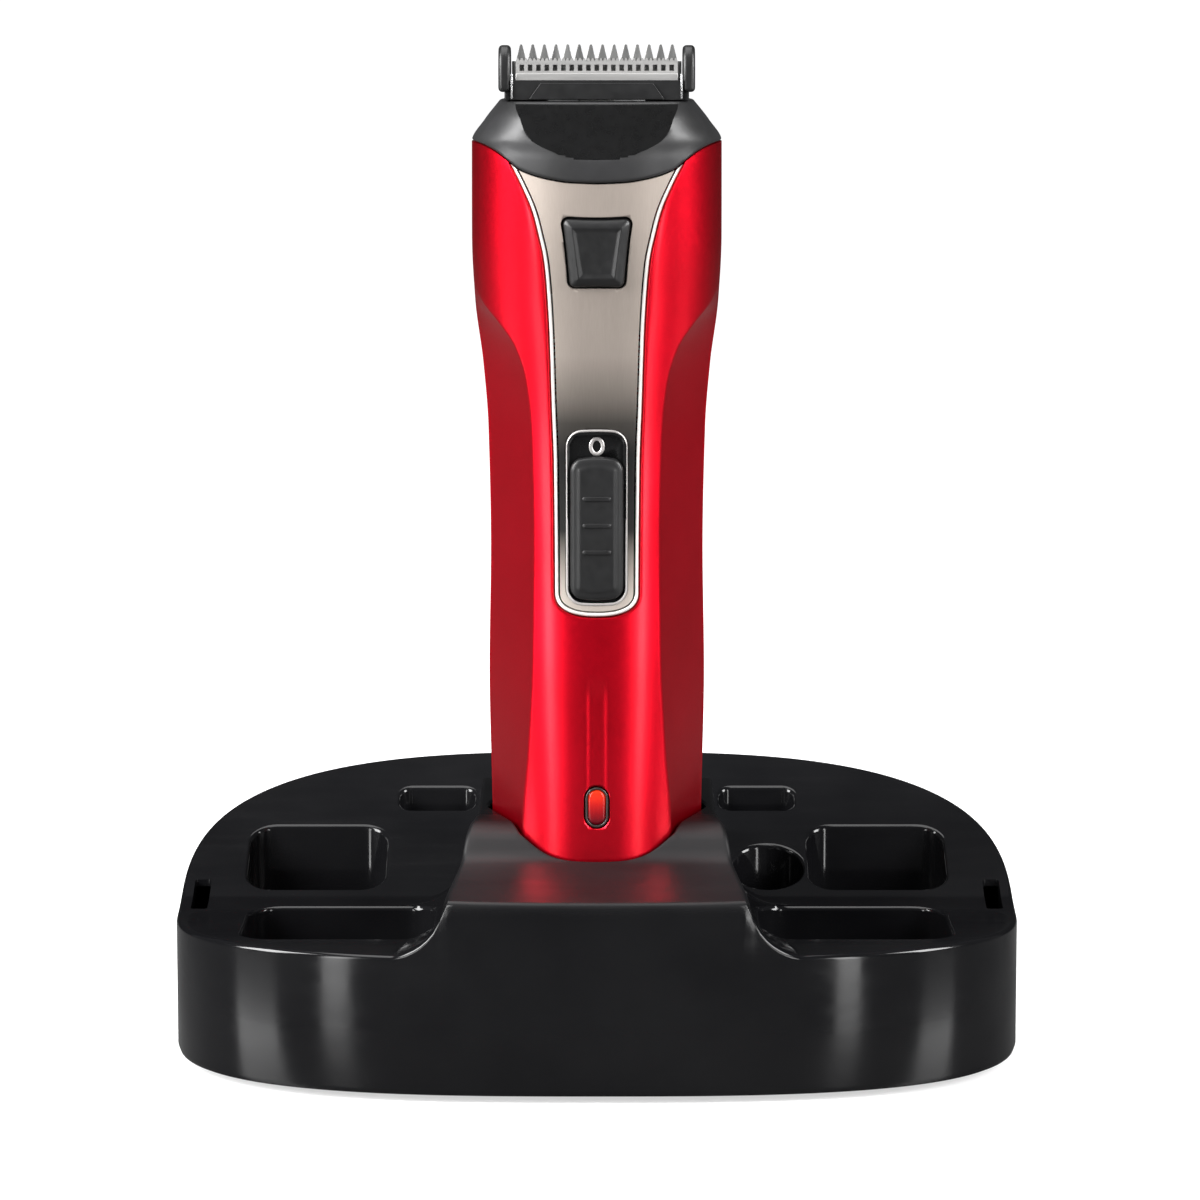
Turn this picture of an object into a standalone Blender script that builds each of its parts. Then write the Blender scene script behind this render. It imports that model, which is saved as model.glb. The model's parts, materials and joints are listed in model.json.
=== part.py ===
"""Cordless beard trimmer with a clip-on T-blade head, standing in its charging stand.

World frame: +Z up, +X to the trimmer's right as it faces the reader, -Y towards the reader.
The origin lies under the centre of the stand, on the surface the rubber feet stand on.
Dimensions below are in millimetres; every mesh is written in metres.
"""
import math

import bmesh
import bpy
from mathutils import Vector

MM = 0.001
GAP = 0.3                     # clearance kept between pieces that touch

# ---- stand -----------------------------------------------------------------------------------
STAND_A, STAND_B, STAND_EXP = 81.0, 50.0, 2.9    # half width, half depth, corner fullness
FOOT_H, FOOT_R = 1.0, 6.0
SHELL_Z0 = FOOT_H + GAP       # lower edge of the shell
WALL = 2.2
DECK_Z, DECK_SLOPE = 27.5, 0.44    # flat front deck, then the rise towards the back
STAND_TOP = 70.0              # the raw block is taller than any surface cut from it
SADDLE = [(-60, 34.9), (-50, 37.7), (-33, 42.4), (-28.4, 47.2), (-25, 48.5), (12, 49.6), (25, 36.0)]
SADDLE_HALF_FRONT, SADDLE_HALF, FLANK_R = 28.0, 22.6, 12.0
FLANK_SINK = 0.2              # how far the flank's foot dips below the deck
WELLS = {                     # name: (x, y, size x, size y, corner radius, floor z)
    "front_left": (-49, -18, 36, 30, 6, 8),
    "front_right": (49, -18, 36, 30, 6, 8),
    "back_left": (-55, 15, 27, 20, 5, 10),
    "back_right": (55, 15, 27, 20, 5, 10),
    "bottle": (33.5, 12, 14, 14, 6.9, 10),
    "brush": (-32, 34, 15, 7, 2.5, 12),
    "comb": (32, 34, 15, 7, 2.5, 12),
}
END_SLOT = (77.0, 2.0, 3.2, 12.0, 20.0)          # x, y, size x, size y, floor z of the end slots
PIN_BLOCK = (9.0, 3.6)        # half sizes of the contact block in the cradle's floor
PIN_BLOCK_Z0, PIN_R_LOW, PIN_R_TIP, PIN_WELL_Z, PIN_WELL_R = 18.0, 1.1, 0.6, 19.5, 1.4
PIN_TRAVEL = 0.8
SCREW_XY = [(-64, -22), (64, -22), (-64, 22), (64, 22)]
FOOT_XY = [(-54, -30), (54, -30), (-54, 30), (54, 30)]
INLET_HALF, INLET_Z0, INLET_Z1, INLET_R = 5.0, 13.0, 21.0, 2.9

# ---- handle ----------------------------------------------------------------------------------
AXIS_Y = -14.0                # the trimmer's own vertical axis
HANDLE_Z0 = 28.0              # underside of the handle, in the cradle
CRADLE_CLEAR, CRADLE_FLOOR = 0.7, HANDLE_Z0 - GAP
SHELL_WALL = 1.8
END_STEP = 1.08               # the shells' straight edges are a little thicker than their walls
CAP_H = 3.0
CONTACT_X, CONTACT_R = 5.0, 1.6
CASE_SCREW_Z = (44.0, 146.0)
BARREL_EXP = 2.3
WIDTH = [(28, 19.5), (52, 19.9), (75, 20.35), (100, 20.0), (122, 20.4), (134, 21.3),
         (146, 22.8), (158, 23.35), (175.5, 23.3)]
CREASE = [(28, 13.84), (49, 13.84), (62, 12.8), (80, 11.8), (104, 11.5), (122, 11.9),
          (132, 13.0), (138, 15.0), (142.4, 18.1), (146, 21.2), (149, 22.8)]
FRONT = [(28, 18.0), (50, 18.2), (76, 17.2), (100, 15.6), (120, 15.0), (140, 15.7),
         (160, 17.3), (172, 18.2)]
BACK = [(28, 15.5), (60, 16.0), (100, 14.5), (140, 15.0), (172, 16.0)]
SEAM_Z, SEAM_RISE, SEAM_HALF, SEAM_POW = 168.4, 7.1, 23.3, 2.43    # arched top edge of the shells
SEAM_BEND = 150.0             # below this height the shell's rings are level
CREASE_U = 0.6                # share of the front's columns that lie between the creases
HEIGHTS = [31.3, 40, 49, 62, 76, 90, 104, 116, 124, 130, 134.5, 138, 141, 144, 147, 151,
           156, 160, 164, 168.4]

PLATE_HALF = [(89, 6.8), (100, 6.85), (116, 7.0), (128, 7.4), (140, 7.75), (147, 8.1),
              (154, 8.7), (160, 9.95), (163.5, 10.9), (169.2, 13.4), (172, 14.9)]
PLATE_Z0, PLATE_SAG = 91.8, 2.7    # corner height and depth of the plate's bottom arc
PLATE_T = 1.6
TRIM_W = 0.6
BUTTON_Z, BUTTON_H, BUTTON_TOP, BUTTON_BOTTOM, BUTTON_PROUD = 155.8, 12.7, 6.23, 5.05, 1.1
BUTTON_TRAVEL = 1.2
TRACK_Z0, TRACK_Z1, TRACK_HALF, TRACK_R = 90.7, 122.4, 5.5, 2.6
TRACK_RIM, TRACK_FLOOR = 0.5, 1.9
SLIDER_Z0, SLIDER_Z1, SLIDER_HALF, SLIDER_PROUD = 92.0, 117.2, 4.7, 1.2
SWITCH_Z, STEM_HALF, STEM_Z0, STEM_Z1 = 108.0, 1.9, 101.0, 110.0
RIB_Z, RIB_PITCH, RIB_HALF, RIB_H, RIB_PROUD, RIBS = 98.5, 4.2, 3.2, 0.9, 0.35, 4
LED_Z0, LED_Z1, LED_HALF = 48.5, 56.1, 2.15

# ---- drive -----------------------------------------------------------------------------------
MOTOR_R, MOTOR_Z0, MOTOR_Z1 = 10.2, 112.0, 140.0
SHAFT_R = 1.0
CAM_R, CAM_Z0, CAM_Z1 = 4.0, 149.0, 153.0
PIN_R, PIN_OFFSET, PIN_Z1 = 1.1, 1.0, 164.0
FORK_SLOT, FORK_W, FORK_Z0 = 3.1, 1.9, 157.0
BATTERY_R, BATTERY_Z0, BATTERY_Z1 = 7.1, 52.0, 102.0
BUTTON_CELL_R, BUTTON_CELL_H = 2.6, 1.5    # raised contact on top of the battery
BOARD_HALF, BOARD_T, BOARD_Z0, BOARD_Z1, BOARD_DEPTH = 9.0, 1.4, 42.0, 110.5, 10.4

# ---- head ------------------------------------------------------------------------------------
HEAD_TOP = 183.3
HEAD_WIDTH = [(160, 23.3), (175.5, 23.3), (179.5, 20.9), (HEAD_TOP, 17.9)]
HEAD_FRONT = [(165, 18.0), (172.8, 18.5), (174.2, 18.42), (176.3, 18.6), (180, 18.85), (HEAD_TOP, 21.2)]
HEAD_BACK = [(165, 15.8), (175, 15.6), (HEAD_TOP, 9.5)]
FACET = [(165, 22.0), (172.8, 18.5), (HEAD_TOP, 13.8)]    # depth of the flat front facet
HEAD_EXP = 2.4
BLADE_Y = -25.6               # front face of the cutter plate
BAR_Z0, BAR_Z1, BAR_HALF, BAR_DEPTH = HEAD_TOP + GAP, 187.2, 16.8, 7.5
BAR_PROUD = 0.6               # the bar stands this far in front of the cutter plate
GUARD_IN, GUARD_OUT, GUARD_Z1 = 16.0, 18.4, 193.5
CUTTER_HALF, CUTTER_ROOT, CUTTER_Z1, CUTTER_T = 14.9, 190.5, 191.2, 0.9
CUTTER_TEETH, CUTTER_PITCH = 28, 1.04
BLADE_SINK = 1.9              # how far both plates reach down into the bar
POCKET_SINK, POCKET_SIDE, POCKET_BACK = 2.2, 1.0, 3.7
FORK_PASSAGE = (6.5, 1.2, 5.5)    # half width and depths behind the cutter's front face
COMB_HALF, COMB_ROOT, COMB_Z1, COMB_T, COMB_TEETH, COMB_PITCH = 15.6, 190.6, 193.7, 0.9, 14, 2.14
WINDOWS, WINDOW_PITCH, WINDOW_SIZE, WINDOW_H, WINDOW_Z = 19, 1.53, 0.8, 1.2, 189.45

COLOURS = {
    "red": ((0.62, 0.0, 0.015), 0.3, 0.6), "black_gloss": ((0.012, 0.012, 0.013), 0.12, 0.0),
    "black_satin": ((0.018, 0.018, 0.019), 0.42, 0.0), "gunmetal": ((0.26, 0.23, 0.21), 0.3, 1.0),
    "silver": ((0.72, 0.72, 0.74), 0.22, 1.0), "steel": ((0.5, 0.5, 0.52), 0.3, 1.0),
    "dark_steel": ((0.22, 0.22, 0.23), 0.35, 1.0), "rubber": ((0.02, 0.02, 0.02), 0.8, 0.0),
    "lens": ((0.75, 0.05, 0.02), 0.15, 0.0), "board": ((0.02, 0.16, 0.06), 0.5, 0.0),
    "battery": ((0.05, 0.22, 0.42), 0.35, 0.0), "frame": ((0.55, 0.55, 0.55), 0.5, 0.0),
    "white": ((0.8, 0.8, 0.78), 0.45, 0.0), "brass": ((0.75, 0.55, 0.2), 0.3, 1.0),
}
TOOL = ""


# ---- small tools -----------------------------------------------------------------------------
def clear_scene():
    for obj in list(bpy.data.objects):
        bpy.data.objects.remove(obj, do_unlink=True)


def material(name, slot):
    colour, rough, metal = COLOURS[slot]
    mat = bpy.data.materials.new(name)
    mat.use_nodes = True
    shader = mat.node_tree.nodes["Principled BSDF"]
    shader.inputs["Base Color"].default_value = (*colour, 1.0)
    shader.inputs["Roughness"].default_value = rough
    shader.inputs["Metallic"].default_value = metal
    return mat


def curve_at(points, t):
    """Smooth value at t of a curve through (t, value) points, flat-ended, never overshooting."""
    if t <= points[0][0]:
        return points[0][1]
    if t >= points[-1][0]:
        return points[-1][1]
    slopes = [(b[1] - a[1]) / (b[0] - a[0]) for a, b in zip(points, points[1:])]
    tangents = [slopes[0]]
    for before, after in zip(slopes, slopes[1:]):
        same_way = before * after > 0
        tangents.append(2 * before * after / (before + after) if same_way else 0.0)
    tangents.append(slopes[-1])
    for i, (a, b) in enumerate(zip(points, points[1:])):
        if t <= b[0]:
            h = b[0] - a[0]
            s = (t - a[0]) / h
            return (a[1] * (1 + 2 * s) * (1 - s) ** 2 + h * tangents[i] * s * (1 - s) ** 2
                    + b[1] * s * s * (3 - 2 * s) + h * tangents[i + 1] * s * s * (s - 1))


def ramp(a, b, t):
    """0 before a, 1 after b, smooth between."""
    s = min(1.0, max(0.0, (t - a) / (b - a)))
    return s * s * (3 - 2 * s)


def make(name, verts, faces, slot):
    """A named object from millimetre points, its normals turned outwards.

    slot picks its colour; TOOL marks a shape that only cuts into or joins another one.
    """
    mesh = bpy.data.meshes.new(name)
    mesh.from_pydata([tuple(c * MM for c in v) for v in verts], [], faces)
    work = bmesh.new()
    work.from_mesh(mesh)
    bmesh.ops.remove_doubles(work, verts=work.verts, dist=1e-6)
    bmesh.ops.recalc_face_normals(work, faces=work.faces)
    work.to_mesh(mesh)
    work.free()
    obj = bpy.data.objects.new(name, mesh)
    bpy.context.scene.collection.objects.link(obj)
    if slot != TOOL:
        mesh.materials.append(material(name, slot))
    mesh.shade_smooth()
    mesh.set_sharp_from_angle(angle=math.radians(32))
    return obj


def loft(name, rings, slot):
    """A solid through closed rings of equal length, capped at both ends."""
    n = len(rings[0])
    verts = [p for ring in rings for p in ring]
    faces = [(k * n + i, k * n + (i + 1) % n, (k + 1) * n + (i + 1) % n, (k + 1) * n + i)
             for k in range(len(rings) - 1) for i in range(n)]
    faces.append(tuple(range(n)))
    faces.append(tuple(range((len(rings) - 1) * n, len(rings) * n)))
    return make(name, verts, faces, slot)


def sheet(name, outer, inner, slot):
    """A bent sheet: outer and inner grids of points joined along all four edges."""
    rows, cols = len(outer), len(outer[0])
    verts = [p for row in outer for p in row] + [p for row in inner for p in row]
    base = rows * cols
    faces = []
    for r in range(rows - 1):
        for c in range(cols - 1):
            q = (r * cols + c, r * cols + c + 1, (r + 1) * cols + c + 1, (r + 1) * cols + c)
            faces.append(q)
            faces.append(tuple(base + i for i in reversed(q)))
    border = [(0, c) for c in range(cols)] + [(r, cols - 1) for r in range(1, rows)]
    border += [(rows - 1, c) for c in range(cols - 2, -1, -1)] + [(r, 0) for r in range(rows - 2, 0, -1)]
    ids = [r * cols + c for r, c in border]
    for a, b in zip(ids, ids[1:] + ids[:1]):
        faces.append((b, a, base + a, base + b))
    return make(name, verts, faces, slot)


def prism(name, outline, low, high, slot, along="Z"):
    """An outline extruded from low to high; its two coordinates fill the other axes in order."""
    def place(p, t):
        if along == "Z":
            return (p[0], p[1], t)
        if along == "Y":
            return (p[0], t, p[1])
        return (t, p[0], p[1])
    return loft(name, [[place(p, low) for p in outline], [place(p, high) for p in outline]], slot)


def block(name, low, high, slot):
    outline = [(low[0], low[1]), (high[0], low[1]), (high[0], high[1]), (low[0], high[1])]
    return prism(name, outline, low[2], high[2], slot)


def circle(x, y, r, n=20, start=0.0, end=360.0):
    steps = n if end - start >= 360 else n + 1
    angles = [math.radians(start + (end - start) * i / n) for i in range(steps)]
    return [(x + r * math.cos(a), y + r * math.sin(a)) for a in angles]


def rounded(x, y, sx, sy, r, n=4):
    """A rectangle with round corners, centred at x, y."""
    points = []
    for cx, cy, a in ((1, 1, 0), (-1, 1, 90), (-1, -1, 180), (1, -1, 270)):
        points += circle(x + cx * (sx / 2 - r), y + cy * (sy / 2 - r), r, n, a, a + 90)
    return points


def rod(name, x, y, z0, z1, r, slot, n=20):
    return prism(name, circle(x, y, r, n), z0, z1, slot)


def turned(name, x, y, profile, slot, n=24):
    """A solid of revolution about a vertical line, from (z, radius) pairs."""
    return loft(name, [[(px, py, z) for px, py in circle(x, y, r, n)] for z, r in profile], slot)


def apply_boolean(obj, cutter, operation="DIFFERENCE"):
    """Combine cutter into obj at once, and remove the cutter."""
    mod = obj.modifiers.new("cut", "BOOLEAN")
    mod.operation = operation
    mod.solver = "EXACT"
    mod.object = cutter
    graph = bpy.context.evaluated_depsgraph_get()
    mesh = bpy.data.meshes.new_from_object(obj.evaluated_get(graph))
    obj.modifiers.clear()
    mesh.name = obj.name
    obj.data = mesh
    bpy.data.objects.remove(cutter, do_unlink=True)
    return obj


def cut(obj, *cutters):
    for cutter in cutters:
        apply_boolean(obj, cutter)
    return obj


def join(obj, *others):
    for other in others:
        apply_boolean(obj, other, "UNION")
    return obj


def set_origin(obj, x, y, z):
    """Move the object's origin to a point on its joint's axis, leaving its shape in place."""
    here = Vector((x * MM, y * MM, z * MM))
    obj.data.transform(obj.matrix_world)
    for v in obj.data.vertices:
        v.co -= here
    obj.matrix_world.identity()
    obj.location = here
    return obj


# ---- handle sections -------------------------------------------------------------------------
def seam(x):
    """Height of the arched joint between handle and head at a distance x from the middle."""
    return SEAM_Z + SEAM_RISE * min(1.0, abs(x) / SEAM_HALF) ** SEAM_POW


def super_x(w, a, exp):
    return w * math.copysign(abs(math.sin(a)) ** (2 / exp), math.sin(a))


def super_y(d, a, exp):
    return -d * math.copysign(abs(math.cos(a)) ** (2 / exp), math.cos(a))


def front_point(z, u):
    """Point of the handle's front half at height z; u runs from -1 (left seam) to 1 (right seam).

    |u| below CREASE_U is the convex front, from the middle to the crease. Beyond it the surface
    is the scooped side facet, which fades into the barrel above the shoulder.
    """
    w, d = curve_at(WIDTH, z), curve_at(FRONT, z)
    crease = min(curve_at(CREASE, z), w * 0.985)
    a_crease = math.asin((crease / w) ** (BARREL_EXP / 2))
    a_crease = min(a_crease, math.radians(78))
    side = abs(u)
    if side <= CREASE_U:
        a = a_crease * side / CREASE_U
        x, y = super_x(w, a, BARREL_EXP), super_y(d, a, BARREL_EXP)
    else:
        s = (side - CREASE_U) / (1 - CREASE_U)
        a = a_crease + (math.pi / 2 - a_crease) * s
        bx, by = super_x(w, a, BARREL_EXP), super_y(d, a, BARREL_EXP)
        x0, y0 = super_x(w, a_crease, BARREL_EXP), super_y(d, a_crease, BARREL_EXP)
        flat = 1 - ramp(143, 151, z)
        fx, fy = x0 + (w - x0) * s, y0 * (1 - s)
        x, y = bx + (fx - bx) * flat, by + (fy - by) * flat
    return math.copysign(x, u), y + AXIS_Y


def back_point(z, u):
    """Point of the handle's rear half; u runs from -1 (right seam) to 1 (left seam)."""
    w, d = curve_at(WIDTH, z), curve_at(BACK, z)
    a = u * math.pi / 2
    return -super_x(w, a, BARREL_EXP), AXIS_Y - super_y(d, a, BARREL_EXP)


def bent(z, x):
    """Height of a shell ring: level low down, bending into the arched seam at the top."""
    lift = ramp(SEAM_BEND, SEAM_Z, z)
    return z + lift * (seam(x) - SEAM_Z)


def offset_ring(points, t):
    """Move a row of (x, y) points inwards by t along its own normals, the two ends straight across."""
    moved = []
    for i, (x, y) in enumerate(points):
        x0, y0 = points[max(0, i - 1)]
        x1, y1 = points[min(len(points) - 1, i + 1)]
        tx, ty = x1 - x0, y1 - y0
        length = math.hypot(tx, ty)
        nx, ny = -ty / length, tx / length
        if i in (0, len(points) - 1):
            nx, ny = math.copysign(END_STEP, nx), 0.0
        moved.append((x + nx * t, y + ny * t))
    return moved


def shell_rows(section, columns, heights, split):
    """Outer and inner grids of one half shell; split moves its two straight edges off the seam."""
    outer, inner = [], []
    for z in heights:
        us = [-1 + 2 * c / (columns - 1) for c in range(columns)]
        ring = []
        for u in us:
            x, y = section(z, u)
            zz = bent(z, x)
            ring.append((*section(zz, u), zz))
        row = [(x, y) for x, y, _ in ring]
        row[0] = (row[0][0], row[0][1] + split)
        row[-1] = (row[-1][0], row[-1][1] + split)
        back = offset_ring(row, SHELL_WALL)
        outer.append([(x, y, r[2]) for (x, y), r in zip(row, ring)])
        inner.append([(x, y, bent(z, x)) for x, y in back])
    return outer, inner


def front_y(x, z):
    """Depth of the handle's front surface over the convex strip between the creases."""
    w, d = curve_at(WIDTH, z), curve_at(FRONT, z)
    return AXIS_Y - d * (1 - min(1.0, abs(x) / w) ** BARREL_EXP) ** (1 / BARREL_EXP)


def plate_rows(grow, columns=9, rows=13, above=0.0):
    """Grid of (x, z) over the face plate, grown on its sides and bottom by grow.

    The top row follows the arched seam; above adds one more row that far over it.
    """
    grid = []
    for r in range(rows + (above > 0)):
        t = min(r, rows - 1) / (rows - 1)
        row = []
        for c in range(columns):
            s = -1 + 2 * c / (columns - 1)
            low = PLATE_Z0 - grow - PLATE_SAG * (1 - s * s)
            x = s * (curve_at(PLATE_HALF, PLATE_Z0 + (SEAM_Z - PLATE_Z0) * t) + grow)
            z = low + (seam(x) - low) * t + (above if r == rows else 0.0)
            x = s * (curve_at(PLATE_HALF, z) + grow)
            row.append((x, z))
        grid.append(row)
    return grid


def plate_solid(name, grow, y_out, y_in, slot, above=0.0):
    """The face plate's outline as a sheet that follows the handle's front."""
    grid = plate_rows(grow, above=above)
    outer = [[(x, front_y(x, z) + y_out, z) for x, z in row] for row in grid]
    inner = [[(x, front_y(x, z) + y_in, z) for x, z in row] for row in grid]
    return sheet(name, outer, inner, slot)


def capsule(z0, z1, half, n=8):
    """Upright slot outline with round ends."""
    return circle(0, z1 - half, half, n, 0, 180) + circle(0, z0 + half, half, n, 180, 360)


def trapezoid(grow=0.0, r=1.2, n=3):
    """Outline of the release button: wider at the top, with round corners."""
    top, bottom, h = BUTTON_TOP + grow, BUTTON_BOTTOM + grow, BUTTON_H / 2 + grow
    corners = [(top, h, 0), (-top, h, 90), (-bottom, -h, 180), (bottom, -h, 270)]
    points = []
    for x, z, a in corners:
        cx, cz = x - math.copysign(r, x), z - math.copysign(r, z)
        points += [(px, pz + BUTTON_Z) for px, pz in circle(cx, cz, r, n, a, a + 90)]
    return points


def track_outline(grow=0.0, n=6):
    """Switch surround: low arch at the top, small round corners at the bottom."""
    half, z0, z1, r = TRACK_HALF + grow, TRACK_Z0 - grow, TRACK_Z1 + grow, TRACK_R
    return (circle(half - r, z1 - r, r, n, 0, 90) + circle(-half + r, z1 - r, r, n, 90, 180)
            + circle(-half + r, z0 + r, r, n, 180, 270) + circle(half - r, z0 + r, r, n, 270, 360))


# ---- handle pieces ---------------------------------------------------------------------------
def front_shell():
    outer, inner = shell_rows(front_point, 27, HEIGHTS, -GAP / 2)
    shell = sheet("front_shell", outer, inner, "red")
    window = plate_solid("cut", TRIM_W + 2 * GAP, -3.0, 6.0, TOOL, above=4.0)
    led = prism("cut_led", capsule(LED_Z0 - GAP, LED_Z1 + GAP, LED_HALF + GAP), -40, -24, TOOL, "Y")
    return cut(shell, window, led)


def rear_shell():
    outer, inner = shell_rows(back_point, 17, HEIGHTS, GAP / 2)
    shell = sheet("rear_shell", outer, inner, "black_satin")
    holes = [prism("cut", circle(0, z, 2.4, 14), -8, 10, TOOL, "Y") for z in CASE_SCREW_Z]
    return cut(shell, *holes)


def section_ring(z, inset):
    """Whole outline of the handle at height z, moved inwards."""
    front = [front_point(z, -1 + 2 * i / 18) for i in range(19)]
    back = [back_point(z, -1 + 2 * i / 12) for i in range(1, 12)]
    points = front + back
    centre_y = AXIS_Y
    ring = []
    for x, y in points:
        length = math.hypot(x, y - centre_y)
        k = (length - inset) / length
        ring.append((x * k, centre_y + (y - centre_y) * k, z))
    return ring


def bottom_cap():
    rings = [section_ring(HANDLE_Z0, 2.4), section_ring(HANDLE_Z0 + 0.9, 0.7),
             section_ring(HANDLE_Z0 + 2.0, 0.0), section_ring(HANDLE_Z0 + CAP_H, 0.0)]
    cap = loft("bottom_cap", rings, "black_satin")
    plug = [section_ring(HANDLE_Z0 + CAP_H - 0.5, SHELL_WALL + 0.5),
            section_ring(HANDLE_Z0 + CAP_H + 3, SHELL_WALL + 0.7)]
    join(cap, loft("plug", plug, TOOL))
    for x in (-CONTACT_X, CONTACT_X):
        cut(cap, rod("cut", x, AXIS_Y, HANDLE_Z0 - 1, HANDLE_Z0 + 10, CONTACT_R + GAP, TOOL, 16))
    return cap


def contacts():
    pieces = []
    for side, x in (("left", -CONTACT_X), ("right", CONTACT_X)):
        profile = [(HANDLE_Z0 + 0.2, 1.2), (HANDLE_Z0 + 0.5, CONTACT_R), (HANDLE_Z0 + 9, CONTACT_R)]
        pieces.append(turned(f"charge_contact_{side}", x, AXIS_Y, profile, "brass", 16))
    return pieces


def plate_band(name, inner_grow, outer_grow, y_out, y_in, slot):
    """A narrow strip down both sides of the plate and round its bottom."""
    inside = plate_rows(inner_grow)
    outside = plate_rows(outer_grow)

    def edge(grid):
        left = [row[0] for row in reversed(grid)]
        right = [row[-1] for row in grid]
        return left + grid[0][1:-1] + right

    path_in, path_out = edge(inside), edge(outside)
    outer = [[(x, front_y(x, z) + y_out, z) for x, z in path] for path in (path_in, path_out)]
    inner = [[(x, front_y(x, z) + y_in, z) for x, z in path] for path in (path_in, path_out)]
    return sheet(name, outer, inner, slot)


def face_plate():
    plate = plate_solid("face_plate", 0.0, 0.0, PLATE_T, "gunmetal")
    button = prism("cut", trapezoid(GAP), -40, -24, TOOL, "Y")
    track = prism("cut", track_outline(GAP), -40, -24, TOOL, "Y")
    plate_band("face_plate_trim", GAP, GAP + TRIM_W, -0.15, PLATE_T, "silver")
    return cut(plate, button, track)


def release_button():
    y = front_y(0, BUTTON_Z)

    def ring(grow, yy):
        return [(px, yy, pz) for px, pz in trapezoid(grow)]

    rings = [ring(0, y + 4.0), ring(0, y - 0.1), ring(-0.6, y - BUTTON_PROUD * 0.7)]
    inner = [(px * 0.62, y - BUTTON_PROUD, BUTTON_Z + (pz - BUTTON_Z) * 0.62) for px, pz in trapezoid(-0.6)]
    dish = [(px * 0.9, y - BUTTON_PROUD * 0.8, BUTTON_Z + (pz - BUTTON_Z) * 0.9) for px, _, pz in inner]
    button = loft("release_button", rings + [inner, dish], "black_satin")
    return set_origin(button, 0, y, BUTTON_Z)


def button_spring():
    """Bent leaf behind the release button, with room for the button's travel."""
    y = front_y(0, BUTTON_Z) + 4.0 + BUTTON_TRAVEL + GAP
    path = [(-6, y + 1.6), (-3, y + 0.3), (0, y), (3, y + 0.3), (6, y + 1.6)]
    outline = path + [(x, yy + 0.4) for x, yy in reversed(path)]
    return prism("button_spring", outline, BUTTON_Z - 2, BUTTON_Z + 2, "steel")


def switch_track():
    """Shallow tray under the switch, with a slot for the switch's stem."""
    y = front_y(0, SWITCH_Z)
    tray = prism("switch_track", track_outline(), y + 0.1, y + 4.2, "black_satin", "Y")
    well = prism("cut", track_outline(-TRACK_RIM), y - 3, y + TRACK_FLOOR, TOOL, "Y")
    half = STEM_HALF + 0.4
    stem = block("cut_stem", (-half, y - 5, STEM_Z0 - 2), (half, y + 10, STEM_Z1 + 6.5), TOOL)
    return cut(tray, well, stem)


def upright(z0, z1, half, r):
    """Upright rounded rectangle, as (x, z)."""
    return rounded(0, (z0 + z1) / 2, half * 2, z1 - z0, r)


def switch_slider():
    y = front_y(0, SWITCH_Z)
    face = y - SLIDER_PROUD
    outline = upright(SLIDER_Z0, SLIDER_Z1, SLIDER_HALF, 2.4)
    inner = upright(SLIDER_Z0 + 0.7, SLIDER_Z1 - 0.7, SLIDER_HALF - 0.7, 2.0)
    levels = ((y + 1.5, outline), (face + 0.5, outline), (face, inner))
    rings = [[(x, yy, z) for x, z in ring] for yy, ring in levels]
    slider = loft("switch_slider", rings, "black_satin")
    join(slider, block("stem", (-STEM_HALF, y + 1.0, STEM_Z0), (STEM_HALF, y + 4.5, STEM_Z1), TOOL))
    for i in range(RIBS):
        z = RIB_Z + RIB_PITCH * i
        join(slider, block("rib", (-RIB_HALF, face - RIB_PROUD, z), (RIB_HALF, face + 0.5, z + RIB_H), TOOL))
    return set_origin(slider, 0, y, SLIDER_Z0)


def led_parts():
    y = front_y(0, (LED_Z0 + LED_Z1) / 2)
    prism("led_lens", capsule(LED_Z0, LED_Z1, LED_HALF), y - 0.05, y + 2.6, "lens", "Y")
    block("status_led", (-1.2, y + 3.0, 50.8), (1.2, y + 4.6, 53.8), "white")


def inner_frame():
    """Plastic chassis: a plate across the handle with a cradle rib above and below each cell."""
    y = AXIS_Y - 8.6
    half = 11.2
    frame = block("inner_frame", (-half, y, 40), (half, y + 1.4, 147.5), "frame")
    for z in (46.0, 105.5, 143.2):
        join(frame, block("rib", (-half, y + 0.7, z), (half, AXIS_Y + 6, z + 1.6), TOOL))
    cut(frame, rod("cut", 0, AXIS_Y, 142, 146, 3.4, TOOL, 16))
    cut(frame, block("cut", (-5.5, y - 2, 52.5), (5.5, y + 5, 102.5), TOOL))
    cut(frame, block("cut", (-8.4, y - 2, 108.8), (8.4, y + 5, 141), TOOL))
    return frame


def power_parts():
    top = BATTERY_Z1 - BUTTON_CELL_H
    profile = [(BATTERY_Z0, BATTERY_R), (top, BATTERY_R), (top, BUTTON_CELL_R), (BATTERY_Z1, BUTTON_CELL_R)]
    turned("battery", 0, AXIS_Y, profile, "battery")
    rod("battery_contact_top", 0, AXIS_Y, BATTERY_Z1 + GAP, BATTERY_Z1 + 0.8, 5.5, "steel", 16)
    turned("battery_contact_bottom", 0, AXIS_Y,
           [(BATTERY_Z0 - 3.8, 5.5), (BATTERY_Z0 - 2.8, 4.6), (BATTERY_Z0 - 1.6, 3.4),
            (BATTERY_Z0 - GAP, 2.2)],
           "steel", 16)
    y = AXIS_Y - BOARD_DEPTH
    block("circuit_board", (-BOARD_HALF, y, BOARD_Z0), (BOARD_HALF, y + BOARD_T, BOARD_Z1), "board")


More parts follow.
